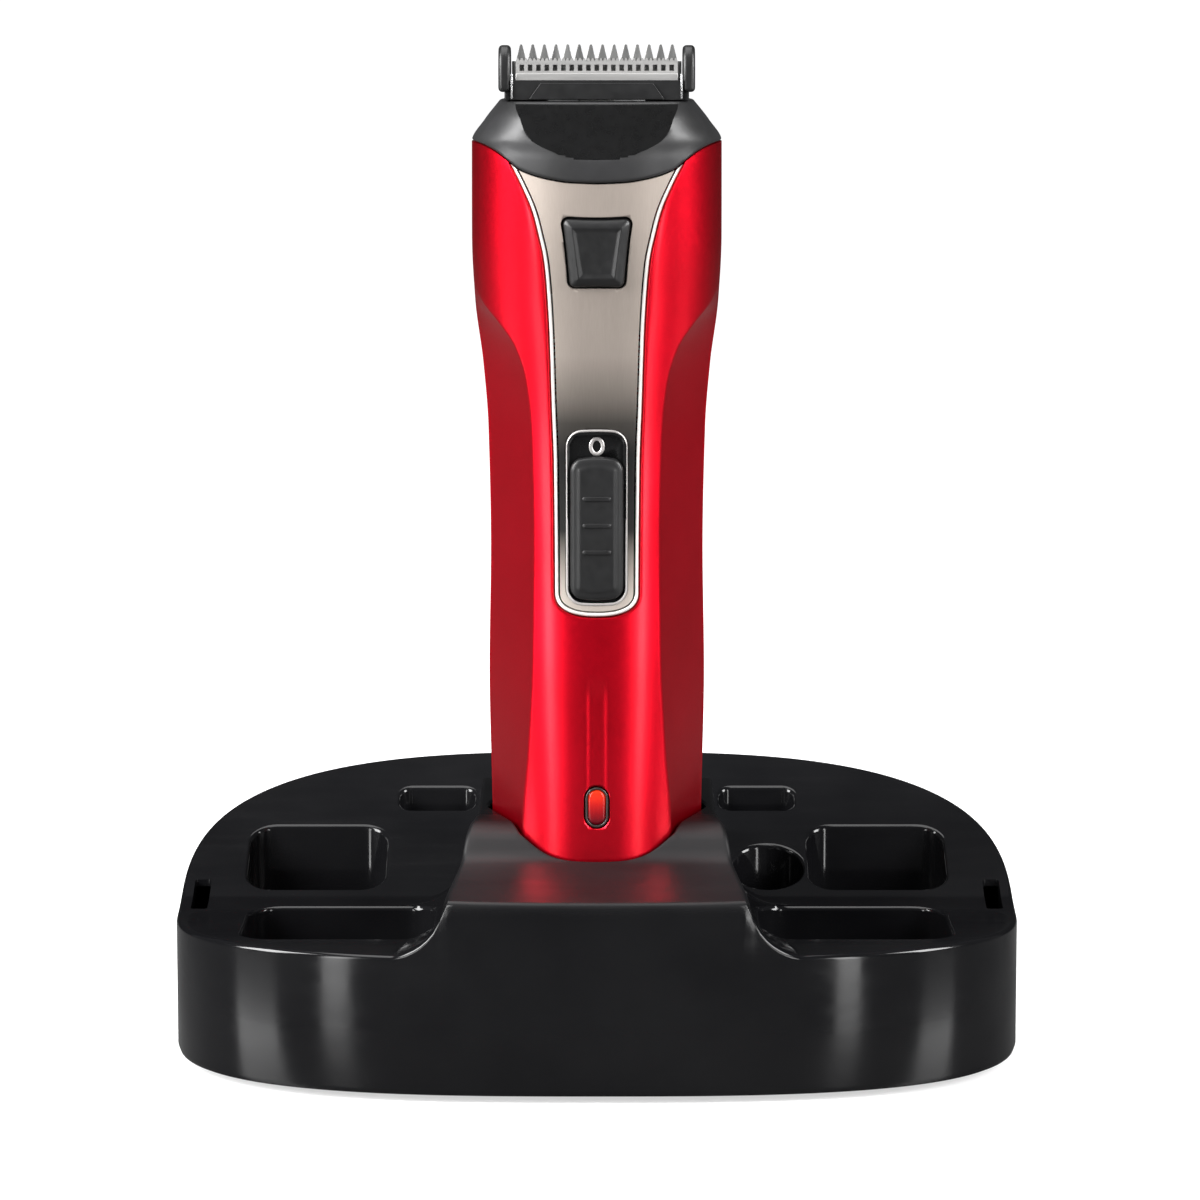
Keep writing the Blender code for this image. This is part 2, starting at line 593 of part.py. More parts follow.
def drive_parts():
    turned("motor", 0, AXIS_Y, [(MOTOR_Z0, MOTOR_R - 1.5), (MOTOR_Z0 + 1.5, MOTOR_R),
                                (MOTOR_Z1, MOTOR_R), (MOTOR_Z1, 3.0), (MOTOR_Z1 + 2.0, 3.0)], "steel")
    cut(bpy.data.objects["motor"], rod("cut", 0, AXIS_Y, MOTOR_Z1 - 8, MOTOR_Z1 + 5, SHAFT_R + GAP, TOOL, 14))
    turned("motor_end_cap", 0, AXIS_Y, [(MOTOR_Z0 - 2.6, 6.0), (MOTOR_Z0 - GAP, 8.2)], "white")
    rod("motor_shaft", 0, AXIS_Y, MOTOR_Z1 - 7.5, CAM_Z0 + 2.0 - GAP, SHAFT_R, "steel", 14)
    set_origin(bpy.data.objects["motor_shaft"], 0, AXIS_Y, MOTOR_Z1)
    cam = rod("eccentric_cam", 0, AXIS_Y, CAM_Z0, CAM_Z1, CAM_R, "white", 20)
    cut(cam, rod("cut", 0, AXIS_Y, CAM_Z0 - 2, CAM_Z0 + 2.0, SHAFT_R + 0.05, TOOL, 14))
    join(cam, rod("pin", 0, AXIS_Y - PIN_OFFSET, CAM_Z1 - 1, PIN_Z1, PIN_R, TOOL, 14))
    set_origin(cam, 0, AXIS_Y, CAM_Z0)


def case_screws():
    for i, z in enumerate(CASE_SCREW_Z):
        y = AXIS_Y + curve_at(BACK, z)
        head = prism(f"case_screw_{i + 1}", circle(0, z, 2.0, 14), y - 1.4, y - 0.2, "steel", "Y")
        join(head, prism("shank", circle(0, z, 1.1, 10), y - 7, y - 1.0, TOOL, "Y"))
        for w, h in ((1.3, 0.25), (0.25, 1.3)):
            cut(head, block("cut", (-w, y - 0.8, z - h), (w, y + 1, z + h), TOOL))


# ---- head ------------------------------------------------------------------------------------
def head_ring(t, inset, n_front=12, n_side=9, n_back=11):
    """One ring of the head housing; t runs from the arched seam (0) to its flat top (1)."""
    def place(side_u, region):
        x, z = SEAM_HALF * 0.5, 0.0
        for _ in range(6):
            low = seam(x) + GAP
            z = low + (HEAD_TOP - low) * t
            w = curve_at(HEAD_WIDTH, z)
            d, facet = curve_at(HEAD_FRONT, z), curve_at(FACET, z)
            ratio = min(1.0, facet / d)
            crease = max(0.3 * w, w * (1 - ratio ** HEAD_EXP) ** (1 / HEAD_EXP))
            if region == "front":
                x = crease * abs(side_u)
                y = -min(facet, d * (1 - (x / w) ** HEAD_EXP) ** (1 / HEAD_EXP))
            elif region == "side":
                a0 = math.asin(min(1.0, (crease / w) ** (HEAD_EXP / 2)))
                a = a0 + (math.pi / 2 - a0) * abs(side_u)
                x, y = super_x(w, a, HEAD_EXP), super_y(d, a, HEAD_EXP)
            else:
                a = math.pi / 2 * (1 - abs(side_u))
                x, y = super_x(w, a, HEAD_EXP), -super_y(curve_at(HEAD_BACK, z), a, HEAD_EXP)
        x = math.copysign(x, side_u)
        length = math.hypot(x, y)
        k = (length - inset) / length
        low = seam(x * k) + GAP
        return (x * k, AXIS_Y + y * k, low + (HEAD_TOP - low) * t)
    ring = [place((-1 + 2 * i / n_front), "front") for i in range(n_front + 1)]
    ring += [place(i / n_side, "side") for i in range(1, n_side + 1)]
    ring += [place(i / n_back, "back") for i in range(1, n_back + 1)]
    ring += [place(-i / n_back if i else -1e-9, "back") for i in range(n_back - 1, -1, -1)]
    ring += [place(-i / n_side, "side") for i in range(n_side - 1, 0, -1)]
    return ring


def head_housing():
    inner = [head_ring(t, 2.0) for t in (0.7, 0.4, 0.0)]
    outer = [head_ring(t, 0.0) for t in (0.0, 0.16, 0.32, 0.48, 0.64, 0.8, 0.92, 1.0)]
    housing = loft("head_housing", inner + outer, "black_satin")
    slot = block("cut", (-9, AXIS_Y - 9.7, 174), (9, AXIS_Y + 2, 190), TOOL)
    return cut(housing, slot)


def head_base():
    """Floor of the head with the plug that clips into the handle's mouth."""
    outline = rounded(0, AXIS_Y + 0.5, 33, 24, 6)
    base = prism("head_base", outline, 168.9, 170.6, "black_satin")
    join(base, prism("plug", rounded(0, AXIS_Y + 0.5, 29, 20, 5), 164.0, 169.2, TOOL))
    cut(base, prism("cut", rounded(0, AXIS_Y + 0.5, 22, 14, 4), 160, 175, TOOL))
    return base


def blade_holder():
    """Black bar below the blades, with a round-topped guard at each end."""
    front = BLADE_Y - BAR_PROUD
    back = front + BAR_DEPTH
    bar = block("blade_holder", (-BAR_HALF, front, BAR_Z0), (BAR_HALF, back, BAR_Z1), "black_satin")
    profile = [(front, BAR_Z0 + 1.0), (back, BAR_Z0 + 1.0), (back, GUARD_Z1 - 5.0),
               (front + 5.0, GUARD_Z1 - 0.8), (front + 4.0, GUARD_Z1), (front + 1.6, GUARD_Z1),
               (front + 0.5, GUARD_Z1 - 0.6), (front, GUARD_Z1 - 2.0)]
    for side in (-1, 1):
        x0, x1 = sorted((side * GUARD_IN, side * GUARD_OUT))
        join(bar, prism("guard", profile, x0, x1, TOOL, "X"))
    pocket = CUTTER_HALF + POCKET_SIDE
    cut(bar, block("cut", (-pocket, BLADE_Y - GAP, BAR_Z1 - POCKET_SINK),
                   (pocket, BLADE_Y + POCKET_BACK, GUARD_Z1 + 2.0), TOOL))
    half, y0, y1 = FORK_PASSAGE
    cut(bar, block("cut", (-half, BLADE_Y + y0, BAR_Z0 - 3), (half, BLADE_Y + y1, GUARD_Z1), TOOL))
    return bar


def toothed_outline(half, z0, root, tip, pitch, teeth, base, point):
    """Plate outline with tapering teeth along its top edge, as (x, z)."""
    points = [(-half, z0), (half, z0), (half, root)]
    first = (teeth - 1) / 2 * pitch
    for i in range(teeth):
        x = first - i * pitch
        points += [(x + base, root), (x + point, tip), (x - point, tip), (x - base, root)]
    points.append((-half, root))
    return points


def blades():
    """Moving cutter in front, fixed comb with the longer teeth behind it."""
    low = BAR_Z1 - BLADE_SINK
    edge = toothed_outline(CUTTER_HALF, low, CUTTER_ROOT, CUTTER_Z1, CUTTER_PITCH, CUTTER_TEETH, 0.35, 0.2)
    cutter = prism("blade_cutter", edge, BLADE_Y, BLADE_Y + CUTTER_T, "silver", "Y")
    w, h = WINDOW_SIZE / 2, WINDOW_H / 2
    for i in range(WINDOWS):
        x = (i - (WINDOWS - 1) / 2) * WINDOW_PITCH
        cut(cutter, block("cut", (x - w, BLADE_Y - 1, WINDOW_Z - h),
                          (x + w, BLADE_Y + 3, WINDOW_Z + h), TOOL))
    set_origin(cutter, 0, BLADE_Y, BAR_Z1)
    y = BLADE_Y + CUTTER_T + GAP
    edge = toothed_outline(COMB_HALF, low, COMB_ROOT, COMB_Z1, COMB_PITCH, COMB_TEETH, 0.8, 0.2)
    prism("blade_comb", edge, y, y + COMB_T, "dark_steel", "Y")


def drive_fork():
    """Carrier behind the blades whose two arms reach down round the crank pin."""
    y0 = BLADE_Y + CUTTER_T + GAP + COMB_T + GAP
    fork = block("drive_fork", (-5.5, y0, 184.5), (5.5, y0 + 1.6, BAR_Z1 + 1.0), "white")
    join(fork, block("neck", (-3.4, y0 + 0.2, 172.5), (3.4, y0 + 1.6, 186), TOOL))
    arm_out = FORK_SLOT + FORK_W
    join(fork, block("shelf", (-arm_out, y0 + 0.2, 171.5), (arm_out, AXIS_Y + 1.5, 173.5), TOOL))
    for side in (-1, 1):
        x0, x1 = sorted((side * FORK_SLOT, side * (FORK_SLOT + FORK_W)))
        join(fork, block("arm", (x0, AXIS_Y - 3.5, FORK_Z0), (x1, AXIS_Y + 1.5, 172.5), TOOL))
    return set_origin(fork, 0, AXIS_Y, FORK_Z0)


def blade_fasteners():
    y = BLADE_Y + CUTTER_T + GAP + COMB_T + GAP
    for side, x in (("left", -11.0), ("right", 11.0)):
        screw = prism(f"blade_screw_{side}", circle(x, 188.6, 1.7, 14), y, y + 0.9, "steel", "Y")
        cut(screw, block("cut", (x - 2, y + 0.5, 188.4), (x + 2, y + 2, 188.8), TOOL))
    wire = block("blade_spring", (-8.5, y + 2.2, 188.8), (8.5, y + 2.7, 190.0), "steel")
    for side in (-1, 1):
        x0, x1 = sorted((side * 7.7, side * 8.5))
        join(wire, block("leg", (x0, y + 0.1, 188.8), (x1, y + 2.5, 190.0), TOOL))
    return wire


# ---- stand -----------------------------------------------------------------------------------
def super_ring(a, b, z, n=72):
    ring = []
    for i in range(n):
        t = 2 * math.pi * (i + 0.5) / n
        c, s = math.cos(t), math.sin(t)
        ring.append((a * math.copysign(abs(c) ** (2 / STAND_EXP), c),
                     b * math.copysign(abs(s) ** (2 / STAND_EXP), s), z))
    return ring


def deck_solid(drop):
    """Everything under the deck: flat in front, rising towards the back."""
    level, far = DECK_Z - drop, 70.0
    side = [(-far, -5), (far, -5), (far, level + far * DECK_SLOPE), (0, level), (-far, level)]
    return prism("deck", side, -100, 100, TOOL, "X")


def saddle_solid(inset, drop):
    """The raised saddle round the trimmer: concave flanks, sloping top, narrower at the back."""
    half = SADDLE_HALF_FRONT - inset
    arc = circle(half + FLANK_R, DECK_Z - drop + FLANK_R - FLANK_SINK, FLANK_R, 8, 270, 180)
    right = [(half + FLANK_R, -4.0)] + arc + [(half, STAND_TOP + 5)]
    outline = right + [(-x, z) for x, z in reversed(right)]
    rings = []
    for y in (-62.0, -50.0, -14.0, 30.0):
        narrow = ramp(-50, -14, y)
        k = (SADDLE_HALF_FRONT + (SADDLE_HALF - SADDLE_HALF_FRONT) * narrow - inset) / half
        rings.append([(x * k, y - inset * (y > 0), z) for x, z in outline])
    raw = loft("saddle", rings, TOOL)
    top = [(y, z - drop) for y, z in SADDLE]
    side = [(-70, -10), (40, -10), (40, 30)] + list(reversed(top)) + [(-70, 31 - drop)]
    return apply_boolean(raw, prism("cut", side, -100, 100, TOOL, "X"), "INTERSECT")


def well_outline(name, grow):
    x, y, sx, sy, r, _ = WELLS[name]
    return rounded(x, y, sx + 2 * grow, sy + 2 * grow, r + grow)


def cradle_outline(grow):
    return [(x, y) for x, y, _ in section_ring(50.0, -grow)]


def stand_shell():
    body = loft("stand_shell", [super_ring(STAND_A - 1.0, STAND_B - 1.0, SHELL_Z0),
                                super_ring(STAND_A, STAND_B, SHELL_Z0 + 1.2),
                                super_ring(STAND_A, STAND_B, STAND_TOP)], "black_gloss")
    surface = join(deck_solid(0), saddle_solid(0, 0))
    apply_boolean(body, surface, "INTERSECT")
    hollow = loft("hollow", [super_ring(STAND_A - WALL, STAND_B - WALL, -3),
                             super_ring(STAND_A - WALL, STAND_B - WALL, STAND_TOP)], TOOL)
    apply_boolean(hollow, join(deck_solid(WALL), saddle_solid(WALL, WALL)), "INTERSECT")
    for name in WELLS:
        floor = WELLS[name][5] - WALL
        cut(hollow, prism("pot", well_outline(name, WALL - 0.4), floor, STAND_TOP, TOOL))
    cut(hollow, prism("pot", cradle_outline(CRADLE_CLEAR + WALL - 0.4), CRADLE_FLOOR - WALL, STAND_TOP, TOOL))
    cut(body, hollow)
    for name in WELLS:
        cut(body, prism("well", well_outline(name, 0), WELLS[name][5], STAND_TOP + 5, TOOL))
    cut(body, prism("cradle", cradle_outline(CRADLE_CLEAR), CRADLE_FLOOR, STAND_TOP + 5, TOOL))
    cut(body, block("cut", (-PIN_BLOCK[0] - GAP, AXIS_Y - PIN_BLOCK[1] - GAP, 10),
                    (PIN_BLOCK[0] + GAP, AXIS_Y + PIN_BLOCK[1] + GAP, 40), TOOL))
    x, y, sx, sy, floor = END_SLOT
    for side in (-1, 1):
        cut(body, block("slot", (side * x - sx / 2, y - sy / 2, floor),
                        (side * x + sx / 2, y + sy / 2, 60), TOOL))
    half = INLET_HALF + GAP
    cut(body, block("cut", (-half, 30, INLET_Z0 - GAP), (half, 60, INLET_Z1 + GAP), TOOL))
    return body


def pin_parts():
    px, py = PIN_BLOCK
    holder = block("pin_block", (-px, AXIS_Y - py, PIN_BLOCK_Z0),
                   (px, AXIS_Y + py, CRADLE_FLOOR - 0.2), "black_satin")
    for side, x in (("left", -CONTACT_X), ("right", CONTACT_X)):
        cut(holder, rod("cut", x, AXIS_Y, PIN_WELL_Z, 35, PIN_WELL_R, TOOL, 16))
        profile = [(PIN_WELL_Z + PIN_TRAVEL + GAP, PIN_R_LOW), (HANDLE_Z0 - 0.7, PIN_R_LOW),
                   (HANDLE_Z0 - 0.1, PIN_R_TIP)]
        pin = turned(f"charge_pin_{side}", x, AXIS_Y, profile, "brass", 14)
        set_origin(pin, x, AXIS_Y, HANDLE_Z0)


def stand_base():
    inset = WALL + GAP
    rings = [super_ring(STAND_A - inset, STAND_B - inset, z, 56) for z in (SHELL_Z0, SHELL_Z0 + 2.0)]
    base = loft("stand_base", rings, "black_satin")
    for x, y in SCREW_XY:
        cut(base, rod("cut", x, y, -2, 8, 2.3, TOOL, 14))
    return base


def base_hardware():
    names = ("front_left", "front_right", "back_left", "back_right")
    for name, (x, y) in zip(names, FOOT_XY):
        turned(f"foot_{name}", x, y, [(0, FOOT_R - 0.6), (0.4, FOOT_R), (FOOT_H, FOOT_R)], "rubber", 20)
    for name, (x, y) in zip(names, SCREW_XY):
        screw = rod(f"base_screw_{name}", x, y, SHELL_Z0 + 0.3, SHELL_Z0 + 1.5, 2.0, "steel", 14)
        join(screw, rod("shank", x, y, SHELL_Z0 + 1.2, 5.3, 1.1, TOOL, 10))
        for w, h in ((1.3, 0.25), (0.25, 1.3)):
            cut(screw, block("cut", (x - w, y - h, SHELL_Z0), (x + w, y + h, SHELL_Z0 + 0.9), TOOL))


def power_inlet():
    """Round inlet for the charger's plug, in the back wall."""
    socket = block("power_socket", (-INLET_HALF, 38.5, INLET_Z0), (INLET_HALF, 49.4, INLET_Z1), "black_satin")
    middle = (INLET_Z0 + INLET_Z1) / 2
    cut(socket, prism("cut", circle(0, middle, INLET_R, 16), 41.5, 60, TOOL, "Y"))
    prism("power_pin", circle(0, middle, 0.8, 12), 41.8, 48.5, "brass", "Y")
    block("stand_circuit_board", (-16, 12, 10.0), (16, 37.0, 11.6), "board")


def main():
    clear_scene()
    front_shell()
    rear_shell()
    bottom_cap()
    contacts()
    face_plate()
    release_button()
    button_spring()
    switch_track()
    switch_slider()
    led_parts()
    inner_frame()
    power_parts()
    drive_parts()
    case_screws()
    head_housing()
    head_base()
    blade_holder()
    blades()
    drive_fork()
    blade_fasteners()
    stand_shell()
    pin_parts()
    stand_base()
    base_hardware()
    power_inlet()


main()
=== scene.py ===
"""Fine surfaces, materials, light and camera for the beard trimmer in its charging stand.

Shapes are worked out in millimetres in the frame's own axes: +Z up, -Y towards the front,
the origin under the middle of the stand. Every mesh is written in metres.
"""
import json
import math

import bmesh
import bpy
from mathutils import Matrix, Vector


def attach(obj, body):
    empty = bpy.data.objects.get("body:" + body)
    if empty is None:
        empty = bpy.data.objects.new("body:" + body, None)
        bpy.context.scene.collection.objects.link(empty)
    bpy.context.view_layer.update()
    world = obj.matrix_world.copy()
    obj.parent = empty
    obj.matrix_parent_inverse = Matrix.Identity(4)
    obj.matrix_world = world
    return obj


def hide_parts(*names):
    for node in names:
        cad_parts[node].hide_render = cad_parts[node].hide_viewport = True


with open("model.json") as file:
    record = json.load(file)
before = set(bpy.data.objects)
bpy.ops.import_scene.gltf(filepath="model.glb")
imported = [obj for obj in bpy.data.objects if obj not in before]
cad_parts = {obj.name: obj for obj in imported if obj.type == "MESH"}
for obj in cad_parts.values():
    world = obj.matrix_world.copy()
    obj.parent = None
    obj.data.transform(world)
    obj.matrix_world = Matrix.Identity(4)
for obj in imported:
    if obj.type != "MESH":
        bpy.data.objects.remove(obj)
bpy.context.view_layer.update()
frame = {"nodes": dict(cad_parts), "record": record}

MM = 0.001
GAP = 0.3                     # clearance between neighbouring pieces

# ---- stand ----
STAND_A, STAND_B, STAND_EXP = 81.0, 50.0, 2.9
FOOT_TOP = 1.0
SHELL_Z0 = FOOT_TOP + GAP
WALL = 2.2
DECK_Z, DECK_SLOPE = 27.5, 0.44
STAND_TOP = 70.0
SADDLE = [(-60, 34.9), (-50, 37.7), (-33, 42.4), (-28.4, 47.2), (-25, 48.5), (12, 49.6), (25, 36.0)]
SADDLE_HALF_FRONT, SADDLE_HALF, FLANK_R, FLANK_SINK = 28.0, 22.6, 12.0, 0.2
WELLS = {                     # name: (x, y, size x, size y, corner radius, floor z)
    "front_left": (-49, -18, 36, 30, 6, 8),
    "front_right": (49, -18, 36, 30, 6, 8),
    "back_left": (-55, 15, 27, 20, 5, 10),
    "back_right": (55, 15, 27, 20, 5, 10),
    "bottle": (33.5, 12, 14, 14, 6.9, 10),
    "brush": (-32, 34, 15, 7, 2.5, 12),
    "comb": (32, 34, 15, 7, 2.5, 12),
}
END_SLOT = (77.0, 2.0, 3.2, 12.0, 20.0)    # x, y, size x, size y, floor z
INLET = ((-5.3, 30, 12.7), (5.3, 60, 21.3))
FEET = {"front_left": (-54, -30), "front_right": (54, -30), "back_left": (-54, 30),
        "back_right": (54, 30)}
PIN_BLOCK = (9.0, 3.6)
CRADLE_CLEAR, CRADLE_FLOOR = 0.7, 27.7
DECK_TURN = 6.0               # softness of the turn in the deck
EDGE_R, LIP_R, STEEP = 1.1, 0.9, 0.004

# ---- handle ----
AXIS_Y = -14.0
HANDLE_Z0, CAP_H = 28.0, 3.0
SHELL_FOOT = HANDLE_Z0 + CAP_H + GAP
SHELL_WALL = 1.8
BARREL_EXP = 2.3
WIDTH = [(28, 19.5), (52, 19.9), (75, 20.35), (100, 20.0), (122, 20.4), (134, 21.3),
         (146, 22.8), (158, 23.35), (175.5, 23.3)]
CREASE = [(28, 13.84), (49, 13.84), (62, 12.8), (80, 11.8), (104, 11.5), (122, 11.9),
          (132, 13.0), (138, 15.0), (142.4, 18.1), (146, 21.2), (149, 22.8)]
FRONT = [(28, 18.0), (50, 18.2), (76, 17.2), (100, 15.6), (120, 15.0), (140, 15.7),
         (160, 17.3), (172, 18.2)]
BACK = [(28, 15.5), (60, 16.0), (100, 14.5), (140, 15.0), (172, 16.0)]
CREASE_U = 0.6
SEAM_Z, SEAM_HALF = 168.4, 23.3
SEAM = [(0, 168.4), (5, 168.6), (10, 169.4), (14.2, 170.8), (16.6, 172.6), (19.3, 174.4),
        (21.8, 175.3), (23.3, 175.5)]
SEAM_BEND = 150.0
CASE_SCREW_Z = (44.0, 146.0)
GRIP_Z0, GRIP_Z1, GRIP_PITCH, GRIP_DEPTH = 66.0, 122.0, 4.0, 0.45
GROOVE_HALF, GROOVE_TOP, GROOVE_DEPTH = 1.95, 77.0, 0.2

PLATE_HALF = [(89, 6.8), (100, 6.85), (116, 7.0), (128, 7.4), (140, 7.75), (147, 8.1),
              (154, 8.7), (160, 9.95), (163.5, 10.9), (169.2, 13.4), (172, 14.9)]
PLATE_TURN, PLATE_DROP, PLATE_EXP = 92.5, 3.4, 2.4    # where the sides turn into the bottom end
PLATE_CORNER = 50.0           # degrees round that end at which a mesh corner sits
PLATE_T, TRIM_W = 1.6, 0.62
RIM_R = 0.35                  # rolled edge of the red shell round the plate
BUTTON_Z, BUTTON_H, BUTTON_TOP, BUTTON_BOTTOM = 155.8, 12.7, 6.23, 5.05
TRACK_Z0, TRACK_Z1, TRACK_HALF = 90.7, 122.4, 5.5
SLIDER_Z0, SLIDER_Z1, SLIDER_HALF = 91.75, 117.2, 4.95
ZERO_Z, ZERO_X, ZERO_H, ZERO_STROKE = 119.75, 1.12, 1.42, 0.36
LED_Z0, LED_Z1, LED_HALF = 48.5, 56.1, 2.15

# ---- head ----
HEAD_TOP, HEAD_EXP = 183.3, 2.4
HEAD_WIDTH = [(160, 23.3), (175.5, 23.3), (179.5, 20.9), (HEAD_TOP, 17.9)]
HEAD_FRONT = [(165, 18.0), (172.8, 18.5), (174.2, 18.42), (176.3, 18.6), (180, 18.85), (HEAD_TOP, 21.2)]
HEAD_BACK = [(165, 15.8), (175, 15.6), (HEAD_TOP, 9.5)]
FACET = [(165, 22.0), (172.8, 18.5), (HEAD_TOP, 13.8)]
BLADE_Y = -25.6
BAR_Z0, BAR_Z1 = HEAD_TOP + GAP, 187.2
GUARD_IN, GUARD_OUT, GUARD_Z0 = 15.8, 18.1, 185.0
CUTTER_HALF, CUTTER_Z1, CUTTER_T = 14.9, 191.2, 0.9
BLADE_FOOT, LIP_Z0, LIP_Z1 = BAR_Z1 - 1.9, BAR_Z1 - 0.1, 188.45    # blade ends hidden by the bar
COMB_HALF, COMB_ROOT, COMB_TIP, COMB_T = 15.6, 190.6, 193.7, 0.9
COMB_TEETH, COMB_PITCH, TOOTH_HALF = 14, 2.14, 0.95
WINDOWS, WINDOW_PITCH, WINDOW_W, WINDOW_Z, WINDOW_H = 19, 1.53, 0.85, 189.45, 1.15

WHITE = (1.0, 1.0, 1.0)
SIDES = (("left", -1), ("right", 1))
FRONT_CUT = (-40, -24)         # depths between which an opening in the plate is cut


# ---- curves ----
def curve_at(points, t):
    """Smooth value at t of a curve through (t, value) points, never overshooting."""
    if t <= points[0][0]:
        return points[0][1]
    if t >= points[-1][0]:
        return points[-1][1]
    slopes = [(b[1] - a[1]) / (b[0] - a[0]) for a, b in zip(points, points[1:])]
    tangents = [slopes[0]]
    for before, after in zip(slopes, slopes[1:]):
        tangents.append(2 * before * after / (before + after) if before * after > 0 else 0.0)
    tangents.append(slopes[-1])
    for i, (a, b) in enumerate(zip(points, points[1:])):
        if t <= b[0]:
            h = b[0] - a[0]
            s = (t - a[0]) / h
            return (a[1] * (1 + 2 * s) * (1 - s) ** 2 + h * tangents[i] * s * (1 - s) ** 2
                    + b[1] * s * s * (3 - 2 * s) + h * tangents[i + 1] * s * s * (s - 1))


def ramp(a, b, t):
    """0 before a, 1 after b, smooth between."""
    s = min(1.0, max(0.0, (t - a) / (b - a)))
    return s * s * (3 - 2 * s)


def power(value, exponent):
    return math.copysign(abs(value) ** exponent, value)


def spaced(a, b, count):
    """count + 1 values from a to b."""
    return [a + (b - a) * i / count for i in range(count + 1)]


def circle(x, y, r, n=24, start=0.0, end=360.0):
    steps = n if end - start >= 360 else n + 1
    angles = [math.radians(start + (end - start) * i / n) for i in range(steps)]
    return [(x + r * math.cos(a), y + r * math.sin(a)) for a in angles]


def rounded(x, y, sx, sy, r, n=8):
    """A rectangle with round corners, centred at x, y."""
    points = []
    for cx, cy, a in ((1, 1, 0), (-1, 1, 90), (-1, -1, 180), (1, -1, 270)):
        points += circle(x + cx * (sx / 2 - r), y + cy * (sy / 2 - r), r, n, a, a + 90)
    return points


def capsule(z0, z1, half, grow=0.0, n=14):
    upper = circle(0, z1 - half, half + grow, n, 0, 180)
    return upper + circle(0, z0 + half, half + grow, n, 180, 360)


# ---- meshes ----
def finish_mesh(name, work, sharp=32.0):
    """Turn a bmesh in millimetres into a linked object in metres."""
    bmesh.ops.remove_doubles(work, verts=work.verts, dist=1e-3)
    bmesh.ops.recalc_face_normals(work, faces=work.faces)
    bmesh.ops.scale(work, vec=(MM, MM, MM), verts=work.verts)
    mesh = bpy.data.meshes.new(name)
    work.to_mesh(mesh)
    work.free()
    mesh.shade_smooth()
    mesh.set_sharp_from_angle(angle=math.radians(sharp))
    obj = bpy.data.objects.new(name, mesh)
    bpy.context.scene.collection.objects.link(obj)
    return obj


def from_points(name, verts, faces, sharp=32.0):
    work = bmesh.new()
    made = [work.verts.new(v) for v in verts]
    for face in faces:
        work.faces.new([made[i] for i in face])
    return finish_mesh(name, work, sharp)


def loft(name, rings, sharp=32.0, looped=False):
    """A solid through rings of equal length, capped at both ends or joined end to end."""
    n, count = len(rings[0]), len(rings)
    faces = [(k * n + i, k * n + (i + 1) % n, (k + 1) % count * n + (i + 1) % n, (k + 1) % count * n + i)
             for k in range(count if looped else count - 1) for i in range(n)]
    if not looped:
        faces += [tuple(range(n)), tuple(range((count - 1) * n, count * n))]
    return from_points(name, [p for ring in rings for p in ring], faces, sharp)


def layers(outline, y, steps):
    """Rings on the front: outline(grow) set back from y by each step's depth."""
    return [[(x, y + depth, z) for x, z in outline(grow)] for grow, depth in steps]


def divided(corners, steps):
    """An outline whose side i is divided into steps(i) parts."""
    points = []
    for i, (a, b) in enumerate(zip(corners, corners[1:] + corners[:1])):
        points += [(a[0] + (b[0] - a[0]) * t, a[1] + (b[1] - a[1]) * t)
                   for t in spaced(0, 1, steps(i))[:-1]]
    return points


def place(p, t, along):
    """The 2-D point p at the distance t along an axis."""
    if along == "Z":
        return (p[0], p[1], t)
    return (p[0], t, p[1]) if along == "Y" else (t, p[0], p[1])


def prism(name, outline, low, high, along="Z"):
    return loft(name, [[place(p, t, along) for p in outline] for t in (low, high)])


def block(name, low, high):
    outline = [(low[0], low[1]), (high[0], low[1]), (high[0], high[1]), (low[0], high[1])]
    return prism(name, outline, low[2], high[2])


def turned(name, x, y, profile, n=40):
    """A solid of revolution about a vertical line, from (z, radius) pairs."""
    return loft(name, [[(px, py, z) for px, py in circle(x, y, r, n)] for z, r in profile])


def closed(name, work, inward, sharp):
    """Close an open surface with a copy of it moved inward and a wall along its edge."""
    bmesh.ops.remove_doubles(work, verts=work.verts, dist=1e-3)
    edge = [e.verts[:] for e in work.edges if e.is_boundary]
    twin = {v: work.verts.new(inward(v.co)) for v in work.verts[:]}
    for face in work.faces[:]:
        work.faces.new([twin[v] for v in reversed(face.verts)])
    for a, b in edge:
        work.faces.new((a, b, twin[b], twin[a]))
    return finish_mesh(name, work, sharp)


def backed(distance):
    """A function that moves a point straight back."""
    return lambda p: Vector((p[0], p[1] + distance, p[2]))


def thick(name, grids, inward, sharp=32.0):
    """A closed shell: grids of points welded into one surface, and its copy moved inward."""
    work = bmesh.new()
    for grid in grids:
        rows = [[work.verts.new(p) for p in row] for row in grid]
        for a, b in zip(rows, rows[1:]):
            for i in range(len(a) - 1):
                work.faces.new((a[i], a[i + 1], b[i + 1], b[i]))
    return closed(name, work, inward, sharp)


def modify(obj, kind, **settings):
    """Put a modifier on a piece and apply it."""
    mod = obj.modifiers.new(kind, kind)
    for name, value in settings.items():
        setattr(mod, name, value)
    graph = bpy.context.evaluated_depsgraph_get()
    mesh = bpy.data.meshes.new_from_object(obj.evaluated_get(graph))
    obj.modifiers.clear()
    mesh.name = obj.name
    obj.data = mesh
    return obj


def boolean(obj, other, operation="DIFFERENCE"):
    modify(obj, "BOOLEAN", operation=operation, solver="EXACT", object=other)
    bpy.data.objects.remove(other, do_unlink=True)
    return obj


def cut(obj, *others):
    for other in others:
        boolean(obj, other)
    return obj


def join(obj, *others):
    for other in others:
        boolean(obj, other, "UNION")
    return obj


